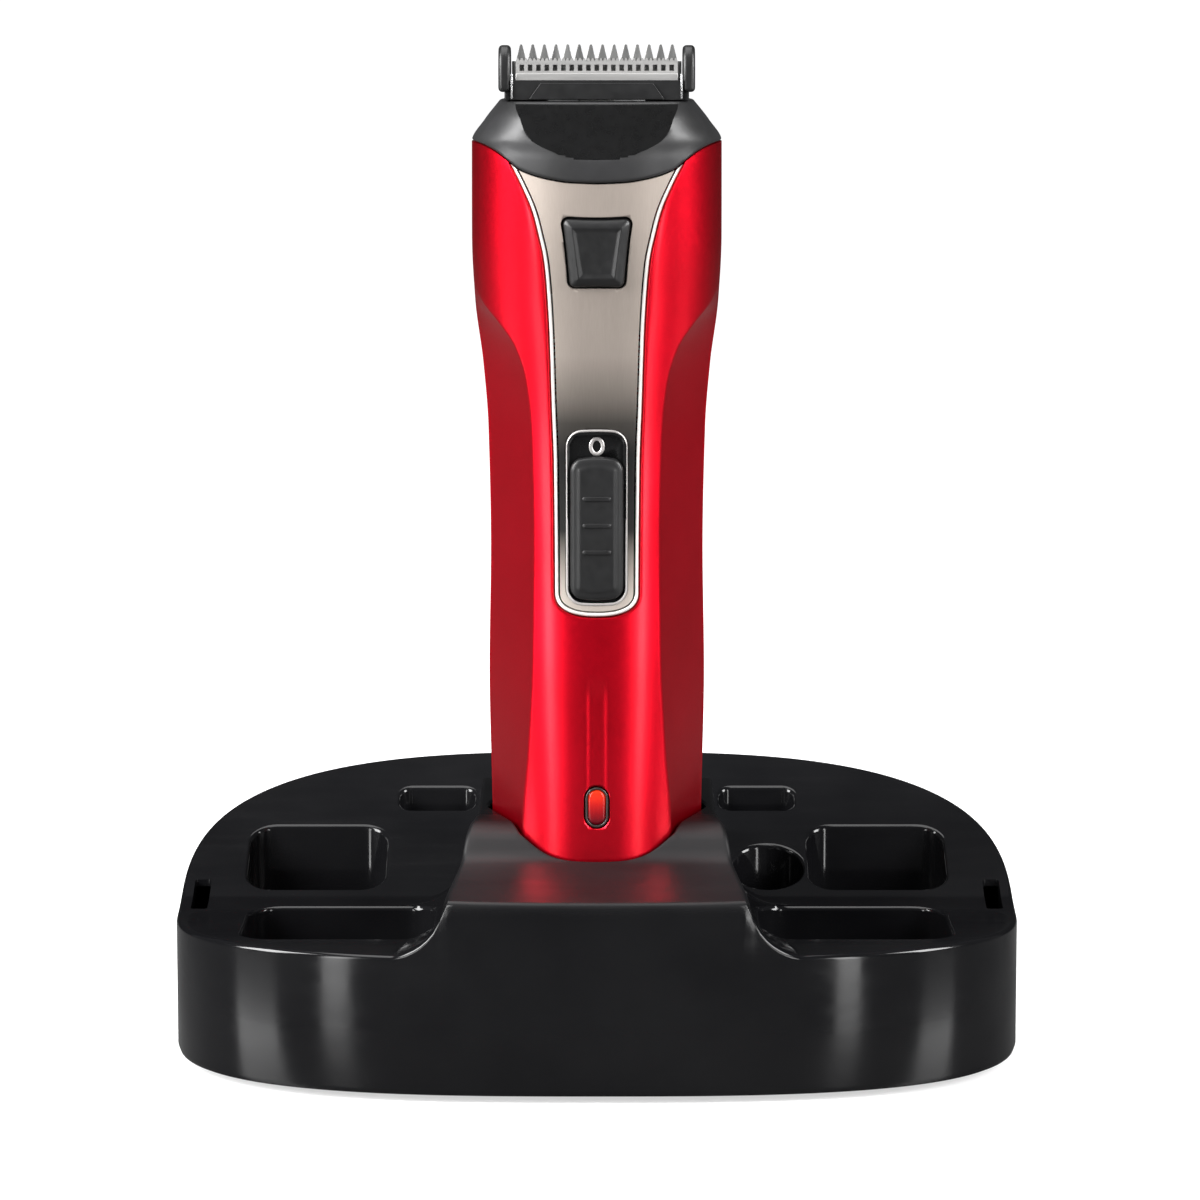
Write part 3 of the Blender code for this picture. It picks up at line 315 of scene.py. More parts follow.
def soften(obj, width, segments=2, angle=35.0):
    """Round the hard edges of a piece."""
    modify(obj, "BEVEL", width=width * MM, segments=segments, limit_method="ANGLE",
           angle_limit=math.radians(angle), use_clamp_overlap=True, harden_normals=False)
    obj.data.shade_smooth()
    obj.data.set_sharp_from_angle(angle=math.radians(angle + 10))
    return modify(obj, "WEIGHTED_NORMAL", keep_sharp=True)


def dress(obj, look, body, *nodes):
    """Give a piece its material and slot, and the CAD body and nodes it belongs to."""
    obj.data.materials.clear()
    obj.data.materials.append(look["material"])
    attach(obj, body)
    if nodes:
        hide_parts(*nodes)
    return obj


# ---- materials ----
class Look:
    """A Principled material whose colour, roughness and relief come from nodes."""

    def __init__(self, name, metallic=0.0, **sockets):
        self.material = bpy.data.materials.new(name)
        self.material.use_nodes = True
        self.tree = self.material.node_tree
        self.shader = self.tree.nodes["Principled BSDF"]
        self.shader.inputs["Metallic"].default_value = metallic
        for socket, value in sockets.items():
            self.shader.inputs[socket.replace("_", " ")].default_value = value
        self.where = self.tree.nodes.new("ShaderNodeTexCoord").outputs["Object"]

    def put(self, value, socket):
        """Link a socket to another one, or give it a value."""
        if isinstance(value, bpy.types.NodeSocket):
            self.tree.links.new(value, socket)
        else:
            socket.default_value = value

    def node(self, kind, sockets=(), **settings):
        """A node with its properties set and its sockets linked or filled."""
        made = self.tree.nodes.new(kind)
        for name, value in settings.items():
            setattr(made, name, value)
        for key, value in dict(sockets).items():
            self.put(value, made.inputs[key])
        return made

    def noise(self, size, detail=3.0, stretch=(1, 1, 1)):
        """Noise with features of about size millimetres, stretched along the axes."""
        scale = [1 / s for s in stretch]
        where = self.node("ShaderNodeMapping", {"Scale": scale, "Vector": self.where}).outputs["Vector"]
        sockets = {"Scale": 1 / (size * MM), "Detail": detail, "Vector": where}
        return self.node("ShaderNodeTexNoise", sockets).outputs["Fac"]

    def cells(self, size):
        sockets = {"Scale": 1 / (size * MM), "Vector": self.where}
        return self.node("ShaderNodeTexVoronoi", sockets).outputs["Distance"]

    def shades(self, factor, *stops):
        """Colours along a factor, from (position, colour) stops."""
        band = self.node("ShaderNodeValToRGB", {"Fac": factor})
        elements = band.color_ramp.elements
        while len(elements) < len(stops):
            elements.new(0.5)
        for element, (position, colour) in zip(elements, stops):
            element.position = position
            element.color = (*colour, 1.0)
        return band.outputs["Color"]

    def between(self, factor, low, high, source=(0.3, 0.7)):
        """A number between low and high as the factor runs over its source range."""
        sockets = {"Value": factor, "From Min": source[0], "From Max": source[1], "To Min": low, "To Max": high}
        return self.node("ShaderNodeMapRange", sockets).outputs["Result"]

    def mixed(self, factor, a, b, blend="MIX"):
        """Two colours mixed; their sockets are told apart by number."""
        mix = self.node("ShaderNodeMix", data_type="RGBA", blend_type=blend)
        for value, socket in ((factor, mix.inputs["Factor"]), (a, mix.inputs[6]), (b, mix.inputs[7])):
            self.put(value, socket)
        return mix.outputs[2]

    def math(self, operation, *values):
        return self.node("ShaderNodeMath", enumerate(values), operation=operation).outputs["Value"]

    def along(self, axis="Z"):
        """Position along an axis, in millimetres."""
        place_ = self.node("ShaderNodeSeparateXYZ", {"Vector": self.where}).outputs[axis]
        return self.math("MULTIPLY", place_, 1 / MM)

    def feed(self, socket, value):
        self.put(value, self.shader.inputs[socket])

    def colour(self, value):
        self.feed("Base Color", value)

    def rough(self, size, low, high, stretch=(1, 1, 1)):
        self.feed("Roughness", self.between(self.noise(size, 4.0, stretch), low, high))

    def relief(self, factor, depth, strength=1.0):
        """Bump of depth millimetres from a 0 to 1 factor."""
        sockets = {"Strength": strength, "Distance": depth * MM, "Height": factor}
        self.feed("Normal", self.node("ShaderNodeBump", sockets).outputs["Normal"])

    def done(self, slot):
        return {"material": self.material, "slot": slot}


def plain(name, slot, dark, light, rough, grain=0.6, depth=0.01):
    """A moulded surface: two close shades, uneven roughness and a fine grain."""
    look = Look(name)
    look.colour(look.shades(look.noise(9.0, 3.0), (0.3, dark), (0.7, light)))
    look.rough(2.5, *rough)
    look.relief(look.noise(grain, 3.0), depth)
    return look.done(slot)


def red_lacquer():
    """Metallic red: bright flakes under a clear coat."""
    look = Look("red_lacquer", 0.95, Coat_Weight=0.3, Coat_Roughness=0.2, Coat_IOR=1.5)
    flakes = look.shades(look.cells(0.11), (0.1, (0.90, 0.004, 0.022)), (0.6, (0.66, 0.0, 0.012)))
    broad = look.shades(look.noise(14.0, 2.0), (0.3, (0.70, 0.0, 0.012)), (0.7, (0.80, 0.0, 0.016)))
    look.colour(look.mixed(0.35, broad, flakes))
    look.rough(0.6, 0.30, 0.36)
    look.relief(look.cells(0.13), 0.003, 0.5)
    return look.done("red_lacquer")


def gloss_black():
    """Polished moulding with faint handling marks, duller on the front of the saddle."""
    look = Look("gloss_black", Specular_IOR_Level=0.3)
    dark, light = (0.003, 0.003, 0.0035), (0.005, 0.005, 0.0055)
    look.colour(look.shades(look.noise(20.0, 3.0), (0.3, dark), (0.7, light)))
    marks = look.between(look.noise(3.0, 6.0, (6, 1, 1)), 0.07, 0.15)
    raised = look.between(look.along("Z"), 0.0, 0.34, (35.0, 38.0))
    middle = look.between(look.math("ABSOLUTE", look.along("X")), 1.0, 0.0, (26.0, 34.0))
    front = look.between(look.along("Y"), 1.0, 0.0, (-26.0, -14.0))
    worn = look.math("MULTIPLY", look.math("MULTIPLY", raised, middle), front)
    look.feed("Roughness", look.math("ADD", marks, worn))
    look.relief(look.noise(7.0, 2.0), 0.006, 0.5)
    return look.done("gloss_black")


def satin_black(name, rough, shade):
    look = Look(name, Specular_IOR_Level=0.4)
    light = shade * 1.7
    look.colour(look.shades(look.noise(11.0, 3.0), (0.3, (shade,) * 3), (0.7, (light, light, light * 1.05))))
    look.rough(1.6, *rough)
    look.relief(look.noise(0.22, 2.0), 0.006)
    return look.done("satin_black")


def gunmetal():
    """Taupe metal plate with a painted reflection graded up its colour: light above, darkening to near black
    beside the switch, clear again at its foot.
    """
    look = Look("gunmetal_plate", 0.7)
    height = look.along()
    tall = look.between(height, 0.0, 1.0, (88.0, 172.0))
    # Painted reflection: the colour runs near black beside the switch and light above and below it, standing in
    # for what the curved plate reflects.
    painted_reflection = look.shades(
        tall, (0.04, (0.46, 0.41, 0.365)), (0.11, (0.28, 0.25, 0.22)), (0.19, (0.02, 0.019, 0.018)),
        (0.36, (0.012, 0.011, 0.011)), (0.43, (0.05, 0.045, 0.04)), (0.49, (0.17, 0.148, 0.13)),
        (0.58, (0.315, 0.272, 0.24)), (1.0, (0.40, 0.345, 0.305)))
    grain = look.shades(look.noise(0.16, 2.0, (1, 1, 30)), (0.2, (0.92,) * 3), (0.8, WHITE))
    look.colour(look.mixed(1.0, painted_reflection, grain, "MULTIPLY"))
    look.rough(0.3, 0.46, 0.54, (1, 1, 25))
    look.relief(look.noise(0.12, 2.0, (1, 1, 40)), 0.002)
    return look.done("gunmetal_plate")


def polished(name, slot, dark, light, rough, stretch=(1, 1, 1), grain=0.15, metallic=1.0):
    """Metal with brushing or polishing lines along the stretched axis."""
    look = Look(name, metallic)
    look.colour(look.shades(look.noise(3.0, 4.0, stretch), (0.3, dark), (0.7, light)))
    look.rough(0.5, *rough, stretch)
    look.relief(look.noise(grain, 3.0, stretch), 0.002)
    return look.done(slot)


def red_lens():
    look = Look("red_lens", Transmission_Weight=0.25, IOR=1.49, Emission_Strength=0.12)
    # Painted light: the lens is coloured dark red low down and bright red-orange towards its top, where the lit
    # spot shows; the emission follows the same ramp.
    spot = look.between(look.along(), 0.0, 1.0, (49.5, 55.5))
    look.colour(look.shades(
        spot, (0.0, (0.10, 0.0, 0.005)), (0.55, (0.45, 0.005, 0.008)), (1.0, (0.80, 0.03, 0.01))))
    glow = look.shades(spot, (0.3, (0.05, 0.0, 0.0)), (0.8, (1.0, 0.08, 0.0)))
    look.feed("Emission Color", glow)
    look.rough(0.8, 0.12, 0.2)
    look.relief(look.noise(0.5, 2.0), 0.01)
    return look.done("red_lens")


def circuit_board():
    look = Look("board_green")
    tracks = look.shades(look.cells(2.4), (0.40, (0.02, 0.13, 0.05)), (0.46, (0.03, 0.22, 0.09)))
    look.colour(tracks)
    look.rough(1.0, 0.35, 0.5)
    look.relief(look.cells(2.4), 0.02)
    return look.done("board_green")


METALS = {                    # name: (slot, dark, light, roughness, stretch, grain, metallic)
    "silver_trim": ("silver_trim", (0.80, 0.77, 0.73), (0.90, 0.87, 0.83), (0.34, 0.42), (1, 1, 1), 0.6, 0.7),
    "ring_grey": ("silver_trim", (0.36, 0.34, 0.33), (0.44, 0.42, 0.41), (0.34, 0.42), (1, 1, 1), 0.15, 0.6),
    "cutter_steel": ("silver_trim", (0.34, 0.335, 0.33), (0.48, 0.475, 0.465), (0.38, 0.48),
                     (14, 1, 1), 0.15, 0.7),
    "comb_steel": ("dark_steel", (0.14,) * 3, (0.26, 0.26, 0.255), (0.34, 0.44), (1, 1, 10), 0.15, 0.7),
    "bright_steel": ("bright_steel", (0.50, 0.50, 0.51), (0.66,) * 3, (0.22, 0.34), (14, 1, 1)),
    "dark_steel": ("dark_steel", (0.10, 0.10, 0.105), (0.20, 0.20, 0.205), (0.28, 0.42), (1, 1, 10)),
    "brass_contact": ("brass_contact", (0.70, 0.50, 0.20), (0.82, 0.62, 0.30), (0.2, 0.34)),
}
MOULDED = {                   # name: (slot, dark, light, roughness, grain, depth)
    "battery_sleeve": ("battery_sleeve", (0.03, 0.16, 0.33), (0.05, 0.22, 0.42), (0.25, 0.35), 1.5, 0.02),
    "grey_plastic": ("grey_plastic", (0.36,) * 3, (0.44,) * 3, (0.45, 0.6)),
    "white_plastic": ("white_plastic", (0.70, 0.70, 0.68), (0.80, 0.80, 0.78), (0.4, 0.5)),
    "smoked_rim": ("satin_black", (0.012, 0.01, 0.009), (0.03, 0.022, 0.02), (0.2, 0.3)),
    "foot_rubber": ("foot_rubber", (0.016,) * 3, (0.03,) * 3, (0.75, 0.9), 0.3, 0.03),
}
BLACKS = {"satin_black": ((0.33, 0.42), 0.006), "band_black": ((0.38, 0.44), 0.014),
          "facet_black": ((0.26, 0.30), 0.002), "grip_black": ((0.42, 0.52), 0.010)}


def make_looks():
    looks = {"red_lacquer": red_lacquer(), "gloss_black": gloss_black(), "gunmetal_plate": gunmetal(),
             "board_green": circuit_board(), "red_lens": red_lens()}
    looks |= {name: satin_black(name, *values) for name, values in BLACKS.items()}
    looks |= {name: polished(name, *values) for name, values in METALS.items()}
    looks |= {name: plain(name, *values) for name, values in MOULDED.items()}
    return looks


# ---- handle surfaces ----
def seam(x):
    """Height of the arched joint between handle and head."""
    return curve_at(SEAM, abs(x))


def barrel(w, d, a):
    """Point at angle a from the front on a section of half width w and depth d."""
    return w * power(math.sin(a), 2 / BARREL_EXP), -d * power(math.cos(a), 2 / BARREL_EXP)


def crease_angle(z):
    w = curve_at(WIDTH, z)
    crease = min(curve_at(CREASE, z), w * 0.985)
    return min(math.asin((crease / w) ** (BARREL_EXP / 2)), math.radians(78))


def front_point(z, u):
    """The handle's front: convex up to the crease at |u| = CREASE_U, a scooped facet beyond it."""
    w, d = curve_at(WIDTH, z), curve_at(FRONT, z)
    turn = crease_angle(z)
    side = abs(u)
    if side <= CREASE_U:
        x, y = barrel(w, d, turn * side / CREASE_U)
    else:
        s = (side - CREASE_U) / (1 - CREASE_U)
        bx, by = barrel(w, d, turn + (math.pi / 2 - turn) * s)
        x0, y0 = barrel(w, d, turn)
        flat = 1 - ramp(143, 151, z)
        x, y = bx + (x0 + (w - x0) * s - bx) * flat, by + (y0 * (1 - s) - by) * flat
    return math.copysign(x, u), y + AXIS_Y


def u_at(x, z):
    """The u whose front point lies at x, between the creases."""
    w = curve_at(WIDTH, z)
    return math.asin(min(1.0, x / w) ** (BARREL_EXP / 2)) / crease_angle(z) * CREASE_U


def front_y(x, z):
    w, d = curve_at(WIDTH, z), curve_at(FRONT, z)
    return AXIS_Y - d * (1 - min(1.0, abs(x) / w) ** BARREL_EXP) ** (1 / BARREL_EXP)


def back_point(z, u):
    w, d = curve_at(WIDTH, z), curve_at(BACK, z)
    x, y = barrel(w, d, u * math.pi / 2)
    return -x, AXIS_Y - y


def bent(z, x):
    """Height of a ring: level low down, bending into the arched seam at the top."""
    return z + ramp(SEAM_BEND, SEAM_Z, z) * (seam(x) - SEAM_Z)


def towards_axis(distance):
    """A function that moves a point towards the handle's axis."""
    def move(p):
        length = math.hypot(p[0], p[1] - AXIS_Y)
        k = (length - distance) / length
        return Vector((p[0] * k, AXIS_Y + (p[1] - AXIS_Y) * k, p[2]))
    return move


def edge_point(station, grow):
    """(x, z) on the right edge of the face plate's outline, grown outwards.

    A station ("ring", z) follows the side; ("turn", degrees) runs round the bottom end.
    """
    kind, value = station
    if kind == "turn":
        a = math.radians(value)
        x = (curve_at(PLATE_HALF, PLATE_TURN) + grow) * abs(math.cos(a)) ** (2 / PLATE_EXP)
        return x, PLATE_TURN - (PLATE_DROP + grow) * abs(math.sin(a)) ** (2 / PLATE_EXP)
    z = value
    for _ in range(6):
        x = curve_at(PLATE_HALF, z) + grow
        z = bent(value, x)
    return x, z


CORNER_STATIONS = [("turn", a) for a in spaced(PLATE_CORNER, 0, 12)]
SIDE_STATIONS = CORNER_STATIONS + [("ring", z) for z in spaced(PLATE_TURN, SEAM_Z, 96)[1:]]
END_STATIONS = [("turn", a) for a in spaced(PLATE_CORNER, 90, 24)]


def window_path(grow):
    """The plate's outline from the top left, round the bottom, to the top right."""
    right = [edge_point(s, grow) for s in reversed(END_STATIONS)]
    right += [edge_point(s, grow) for s in SIDE_STATIONS[1:]]
    return [(-x, z) for x, z in reversed(right)] + right[1:]


def groove(x, z):
    """Depth of the shallow channel that runs up from the charge light."""
    side = 1 - ramp(GROOVE_HALF - 0.9, GROOVE_HALF + 0.3, abs(x))
    return GROOVE_DEPTH * side * (1 - ramp(GROOVE_TOP - 4.0, GROOVE_TOP, z)) * ramp(LED_Z0, LED_Z0 + 3.0, z)


def side_row(z, edge, near=14, far=26):
    """One row of the shell's flank, from the window's edge to the side seam."""
    start = u_at(edge[0], edge[1])
    us = spaced(start, CREASE_U, near)[1:] + spaced(CREASE_U, 1.0, far)[1:]
    row = [(edge[0], front_y(*edge), edge[1])]
    for u in us:
        zz = bent(z, front_point(z, u)[0])
        row.append((*front_point(zz, u), zz))
    x, y, zz = row[-1]
    row[-1] = (x, y - GAP / 2, zz)
    return row


def front_shell(looks):
    """Red half of the case: two flanks, the field below the plate and the rolled window edge."""
    grow = 2 * GAP + TRIM_W + RIM_R
    corner_x, corner_z = edge_point(END_STATIONS[0], grow)
    low_rows = spaced(SHELL_FOOT, corner_z, 64)
    flank = [side_row(z, (corner_x, z)) for z in low_rows]
    for station in SIDE_STATIONS[1:]:
        edge = edge_point(station, grow)
        flank.append(side_row(edge[1] if station[0] == "turn" else station[1], edge))
    mirrored = [[(-x, y, z) for x, y, z in row] for row in flank]
    ends = [edge_point(s, grow) for s in END_STATIONS]
    ends += [(-x, z) for x, z in reversed(ends[:-1])]
    field = []
    for z in low_rows:
        t = (z - SHELL_FOOT) / (corner_z - SHELL_FOOT)
        heights = [SHELL_FOOT + (top - SHELL_FOOT) * t for _, top in ends]
        field.append([(x, front_y(x, h) + groove(x, h), h) for (x, _), h in zip(ends, heights)])
    rolled = []
    for degrees in (0, 22.5, 45, 67.5, 90):
        a = math.radians(degrees)
        path = window_path(grow - RIM_R * math.sin(a))
        rolled.append([(x, front_y(x, z) + RIM_R * (1 - math.cos(a)), z) for x, z in path])
    shell = thick("front_shell_skin", [flank, mirrored, field, rolled], towards_axis(SHELL_WALL), 40)
    cut(shell, prism("led_hole", capsule(LED_Z0, LED_Z1, LED_HALF, GAP), -40, -22, "Y"))
    return dress(shell, looks["red_lacquer"], "handle", "front_shell")


def grip_dip(z, u):
    """Depth of the soft finger grooves across the back."""
    inside = ramp(GRIP_Z0, GRIP_Z0 + 3, z) * (1 - ramp(GRIP_Z1 - 3, GRIP_Z1, z))
    inside *= 1 - ramp(0.42, 0.56, abs(u))
    return GRIP_DEPTH * inside * (0.5 - 0.5 * math.cos(2 * math.pi * (z - GRIP_Z0) / GRIP_PITCH))


def rear_shell(looks):
    grid = []
    for z in spaced(SHELL_FOOT, SEAM_Z, 260):
        row = []
        for u in spaced(-1, 1, 56):
            zz = bent(z, back_point(z, u)[0])
            x, y = back_point(zz, u)
            row.append((x, y - grip_dip(zz, u) + (GAP / 2 if abs(u) == 1 else 0), zz))
        grid.append(row)
    shell = thick("rear_shell_skin", [grid], towards_axis(SHELL_WALL), 40)
    cut(shell, *[prism("hole", circle(0, z, 2.4, 32), -8, 10, "Y") for z in CASE_SCREW_Z])
    return dress(shell, looks["grip_black"], "handle", "rear_shell")


def section_ring(z, inset):
    """Whole outline of the handle at height z, moved inwards."""
    points = [front_point(z, u) for u in spaced(-1, 1, 60)]
    points += [back_point(z, u) for u in spaced(-1, 1, 40)[1:-1]]
    move = towards_axis(inset)
    return [tuple(move((x, y, z))) for x, y in points]


def bottom_cap(looks):
    steps = [(0.0, 2.4), (0.35, 1.3), (0.9, 0.5), (1.6, 0.1), (2.2, 0.0), (CAP_H, 0.0),
             (CAP_H, SHELL_WALL + 0.5), (CAP_H + 3.0, SHELL_WALL + 0.7)]
    cap = loft("bottom_cap_skin", [section_ring(HANDLE_Z0 + rise, inset) for rise, inset in steps])
    for side in (-1, 1):
        cut(cap, turned("hole", side * 5.0, AXIS_Y, [(HANDLE_Z0 - 1, 1.9), (HANDLE_Z0 + 10, 1.9)]))
    return dress(cap, looks["satin_black"], "handle", "bottom_cap")


def face_plate(looks):
    """Metal plate on the front, with openings for the button and the switch."""
    side = [edge_point(s, 0.0) for s in SIDE_STATIONS]
    end = [edge_point(s, 0.0) for s in END_STATIONS]
    foot = [(-x, z) for x, z in end] + [(x, z) for x, z in reversed(end[:-1])]
    columns = len(foot) - 1
    grid = []
    for j, (edge_x, edge_z) in enumerate(side):
        t = j / (len(side) - 1)
        row = []
        for i, (foot_x, foot_z) in enumerate(foot):
            s = i / columns
            top_x = side[-1][0] * (2 * s - 1)
            x = (foot_x * (1 - t) + top_x * t + edge_x * (2 * s - 1)
                 - (foot[-1][0] * (1 - t) + side[-1][0] * t) * (2 * s - 1))
            z = foot_z * (1 - t) + seam(top_x) * t + edge_z - (foot[0][1] * (1 - t) + side[-1][1] * t)
            row.append((x, front_y(x, z), z))
        grid.append(row)
    plate = thick("face_plate_skin", [grid], backed(PLATE_T))
    cut(plate, prism("hole", button_outline(0.45), *FRONT_CUT, "Y"),
        prism("hole", track_outline(GAP), *FRONT_CUT, "Y"))
    return dress(plate, looks["gunmetal_plate"], "handle", "face_plate")


def plate_trim(looks):
    """Bright wire round the plate, half round in section."""
    profile = [(0.0, PLATE_T), (0.0, 0.0), (0.14, -0.16), (0.5, -0.24), (0.86, -0.16), (1.0, 0.0),
               (1.0, PLATE_T)]
    paths = [[(x, front_y(x, z) + depth, z) for x, z in window_path(GAP + share * TRIM_W)]
             for share, depth in profile]
    trim = loft("plate_trim_wire", [list(section) for section in zip(*paths)], 50)
    return dress(trim, looks["silver_trim"], "handle", "face_plate_trim")


def pinched(points, pull=0.18):
    """Draw the straight sides of the button's outline in a little."""
    h = BUTTON_H / 2
    moved = []
    for x, z in points:
        along_z = (z - BUTTON_Z) / h
        along_x = x / BUTTON_TOP
        moved.append((x - math.copysign(pull, x) * max(0.0, 1 - along_z ** 2) * abs(along_x) ** 3,
                      z - math.copysign(pull, z - BUTTON_Z) * max(0.0, 1 - along_x ** 2) * abs(along_z) ** 3))
    return moved


def button_outline(grow=0.0, r=1.2):
    """Release button: wider at the top, round corners, sides slightly hollow."""
    top, bottom, h = BUTTON_TOP + grow, BUTTON_BOTTOM + grow, BUTTON_H / 2 + grow
    corners = [(top, h), (-top, h), (-bottom, -h), (bottom, -h)]
    r = max(0.25, r + grow)
    points = []
    for i, (x, z) in enumerate(corners):
        cx, cz = x - math.copysign(r, x), z - math.copysign(r, z)
        arc = circle(cx, cz, r, 6, i * 90, i * 90 + 90)
        nx, nz = corners[(i + 1) % 4]
        ex = nx - math.copysign(r, nx)
        ez = nz - math.copysign(r, nz)
        last = arc[-1]
        after = (ex + r * math.cos(math.radians(i * 90 + 90)), ez + r * math.sin(math.radians(i * 90 + 90)))
        straight = [(last[0] + (after[0] - last[0]) * t, last[1] + (after[1] - last[1]) * t)
                    for t in spaced(0, 1, 8)[1:-1]]
        points += [(px, pz + BUTTON_Z) for px, pz in arc + straight]
    return pinched(points)


def release_button(looks):
    y = front_y(0, BUTTON_Z)
    steps = [(0.9, 4.0), (0.9, 2.0), (0.0, 1.9), (0.0, 0.1), (-0.08, -0.18), (-0.3, -0.38), (-1.45, -1.0),
             (-1.65, -1.06), (-1.85, -1.02), (-2.15, -0.82), (-2.6, -0.76)]
    button = loft("release_button_cap", layers(button_outline, y, steps), 60)
    return dress(button, looks["satin_black"], "button", "release_button")


def crowned(points, half, middle, crown):
    """Bow the top and bottom of an upright outline outwards."""
    return [(x, z + math.copysign(crown, z - middle) * max(0.0, 1 - (x / half) ** 2)) for x, z in points]


def upright(z0, z1, half, r, crown, grow=0.0):
    """Upright rounded rectangle with bowed ends, its ends divided finely."""
    middle = (z0 + z1) / 2
    per_corner = 8
    corners = rounded(0, middle, 2 * (half + grow), z1 - z0 + 2 * grow, max(0.2, r + grow), per_corner)

    def steps(i):
        corner, place_in_corner = divmod(i, per_corner + 1)
        if place_in_corner < per_corner:
            return 1
        return 12 if corner % 2 == 0 else 24

    return crowned(divided(corners, steps), half + grow, middle, crown)


def track_outline(grow=0.0, crown=0.0):
    return upright(TRACK_Z0, TRACK_Z1, TRACK_HALF, 2.6, crown, grow)


def switch_track(looks):
    """Sunk tray under the switch, the bright ring round it and the zero above the slider."""
    y = front_y(0, 108)
    tray = prism("switch_tray", track_outline(), y + 0.1, y + 4.2, "Y")
    cut(tray, prism("well", track_outline(-0.5), y - 3, y + 1.0, "Y"),
        block("stem_slot", (-2.3, y - 5, 99), (2.3, y + 10, 116.5)))
    dress(tray, looks["facet_black"], "handle", "switch_track")

    profile = [(-0.24, 0.35), (-0.24, -0.06), (-0.12, -0.17), (0.06, -0.17), (0.22, -0.04), (0.25, 0.35)]
    rings = [[(x, front_y(x, z) + depth, z) for x, z in track_outline(grow, 0.35)] for grow, depth in profile]
    dress(loft("switch_ring", rings, 60, looped=True), looks["ring_grey"], "handle")

    section = [(-ZERO_STROKE, 0.0), (-0.2, -0.16), (0.2, -0.16), (ZERO_STROKE, 0.0)]
    rings = []
    for a in spaced(0, 2 * math.pi, 40)[:-1]:
        rings.append([((ZERO_X + grow) * math.cos(a), y + 0.98 + depth, ZERO_Z + (ZERO_H + grow) * math.sin(a))
                      for grow, depth in section])
    dress(loft("switch_zero", rings, 60, looped=True), looks["ring_grey"], "handle")


def switch_slider(looks):
    """Thumb slider with soft shoulders, a raised pad and three low ribs."""
    y = front_y(0, 106)
    steps = [(-0.35, 0.85), (0.0, 0.7), (0.0, -0.35), (-0.12, -0.7), (-0.4, -0.95), (-0.85, -1.08),
             (-1.25, -1.1), (-1.5, -1.22), (-1.75, -1.32), (-2.1, -1.35)]
    rings = layers(lambda grow: upright(SLIDER_Z0, SLIDER_Z1, SLIDER_HALF, 1.9, 0.7, grow), y, steps)
    slider = loft("switch_thumb", rings, 60)
    dress(slider, looks["satin_black"], "switch", "switch_slider")
    for i, z in enumerate((100.2, 105.2, 110.2)):
        outline = rounded(0, z, 5.4, 0.8, 0.38, 5)
        rings = [[(px * k, y + depth, z + (pz - z) * k) for px, pz in outline]
                 for k, depth in ((1.0, -1.2), (1.0, -1.45), (0.92, -1.56), (0.7, -1.6))]
        dress(loft(f"switch_rib_{i + 1}", rings, 60), looks["satin_black"], "switch")


def charge_light(looks):
    """Red lens in a smoked rim at the foot of the front shell."""
    y = front_y(0, (LED_Z0 + LED_Z1) / 2) + GROOVE_DEPTH
    profile = [(0.0, 1.6), (0.0, 0.05), (-0.1, -0.04), (-0.3, -0.04), (-0.4, 0.05), (-0.4, 1.6)]

    def window(grow):
        return capsule(LED_Z0, LED_Z1, LED_HALF, grow)

    rim = loft("charge_light_rim", layers(window, y, profile), 50, looped=True)
    dress(rim, looks["smoked_rim"], "handle")
    steps = [(-0.48, 2.6), (-0.48, 0.25), (-0.65, 0.1), (-1.0, 0.02), (-1.5, -0.02)]
    dress(loft("charge_light_lens", layers(window, y, steps), 60), looks["red_lens"], "handle", "led_lens")


# ---- head ----
def head_point(t, share, region, inset):
    """One point of the head's skin; t runs from the arched seam (0) to the flat top (1)."""
    x = SEAM_HALF * 0.5
    for _ in range(7):
        low = seam(x) + GAP
        z = low + (HEAD_TOP - low) * t
        w, d = curve_at(HEAD_WIDTH, z), curve_at(HEAD_FRONT, z)
        facet = curve_at(FACET, z)
        crease = max(0.3 * w, w * (1 - min(1.0, facet / d) ** HEAD_EXP) ** (1 / HEAD_EXP))
        if region == "front":
            x = crease * abs(share)
            y = -min(facet, d * (1 - (x / w) ** HEAD_EXP) ** (1 / HEAD_EXP))
        elif region == "side":
            a0 = math.asin(min(1.0, (crease / w) ** (HEAD_EXP / 2)))
            a = a0 + (math.pi / 2 - a0) * abs(share)
            x, y = w * power(math.sin(a), 2 / HEAD_EXP), -d * power(math.cos(a), 2 / HEAD_EXP)
        else:
            a = math.pi / 2 * (1 - abs(share))
            x = w * power(math.sin(a), 2 / HEAD_EXP)
            y = curve_at(HEAD_BACK, z) * power(math.cos(a), 2 / HEAD_EXP)
    x = math.copysign(x, share)
    length = math.hypot(x, y)
    k = (length - inset) / length
    low = seam(x * k) + GAP
    return (x * k, AXIS_Y + y * k, low + (HEAD_TOP - low) * t)


def head_ring(t, inset, n_front=56, n_side=26, n_back=44):
    ring = [head_point(t, share, "front", inset) for share in spaced(-1, 1, n_front)]
    ring += [head_point(t, i / n_side, "side", inset) for i in range(1, n_side + 1)]
    ring += [head_point(t, i / n_back, "back", inset) for i in range(1, n_back + 1)]
    ring += [head_point(t, -i / n_back or -1e-9, "back", inset) for i in range(n_back - 1, -1, -1)]
    ring += [head_point(t, -i / n_side, "side", inset) for i in range(n_side - 1, 0, -1)]
    return ring


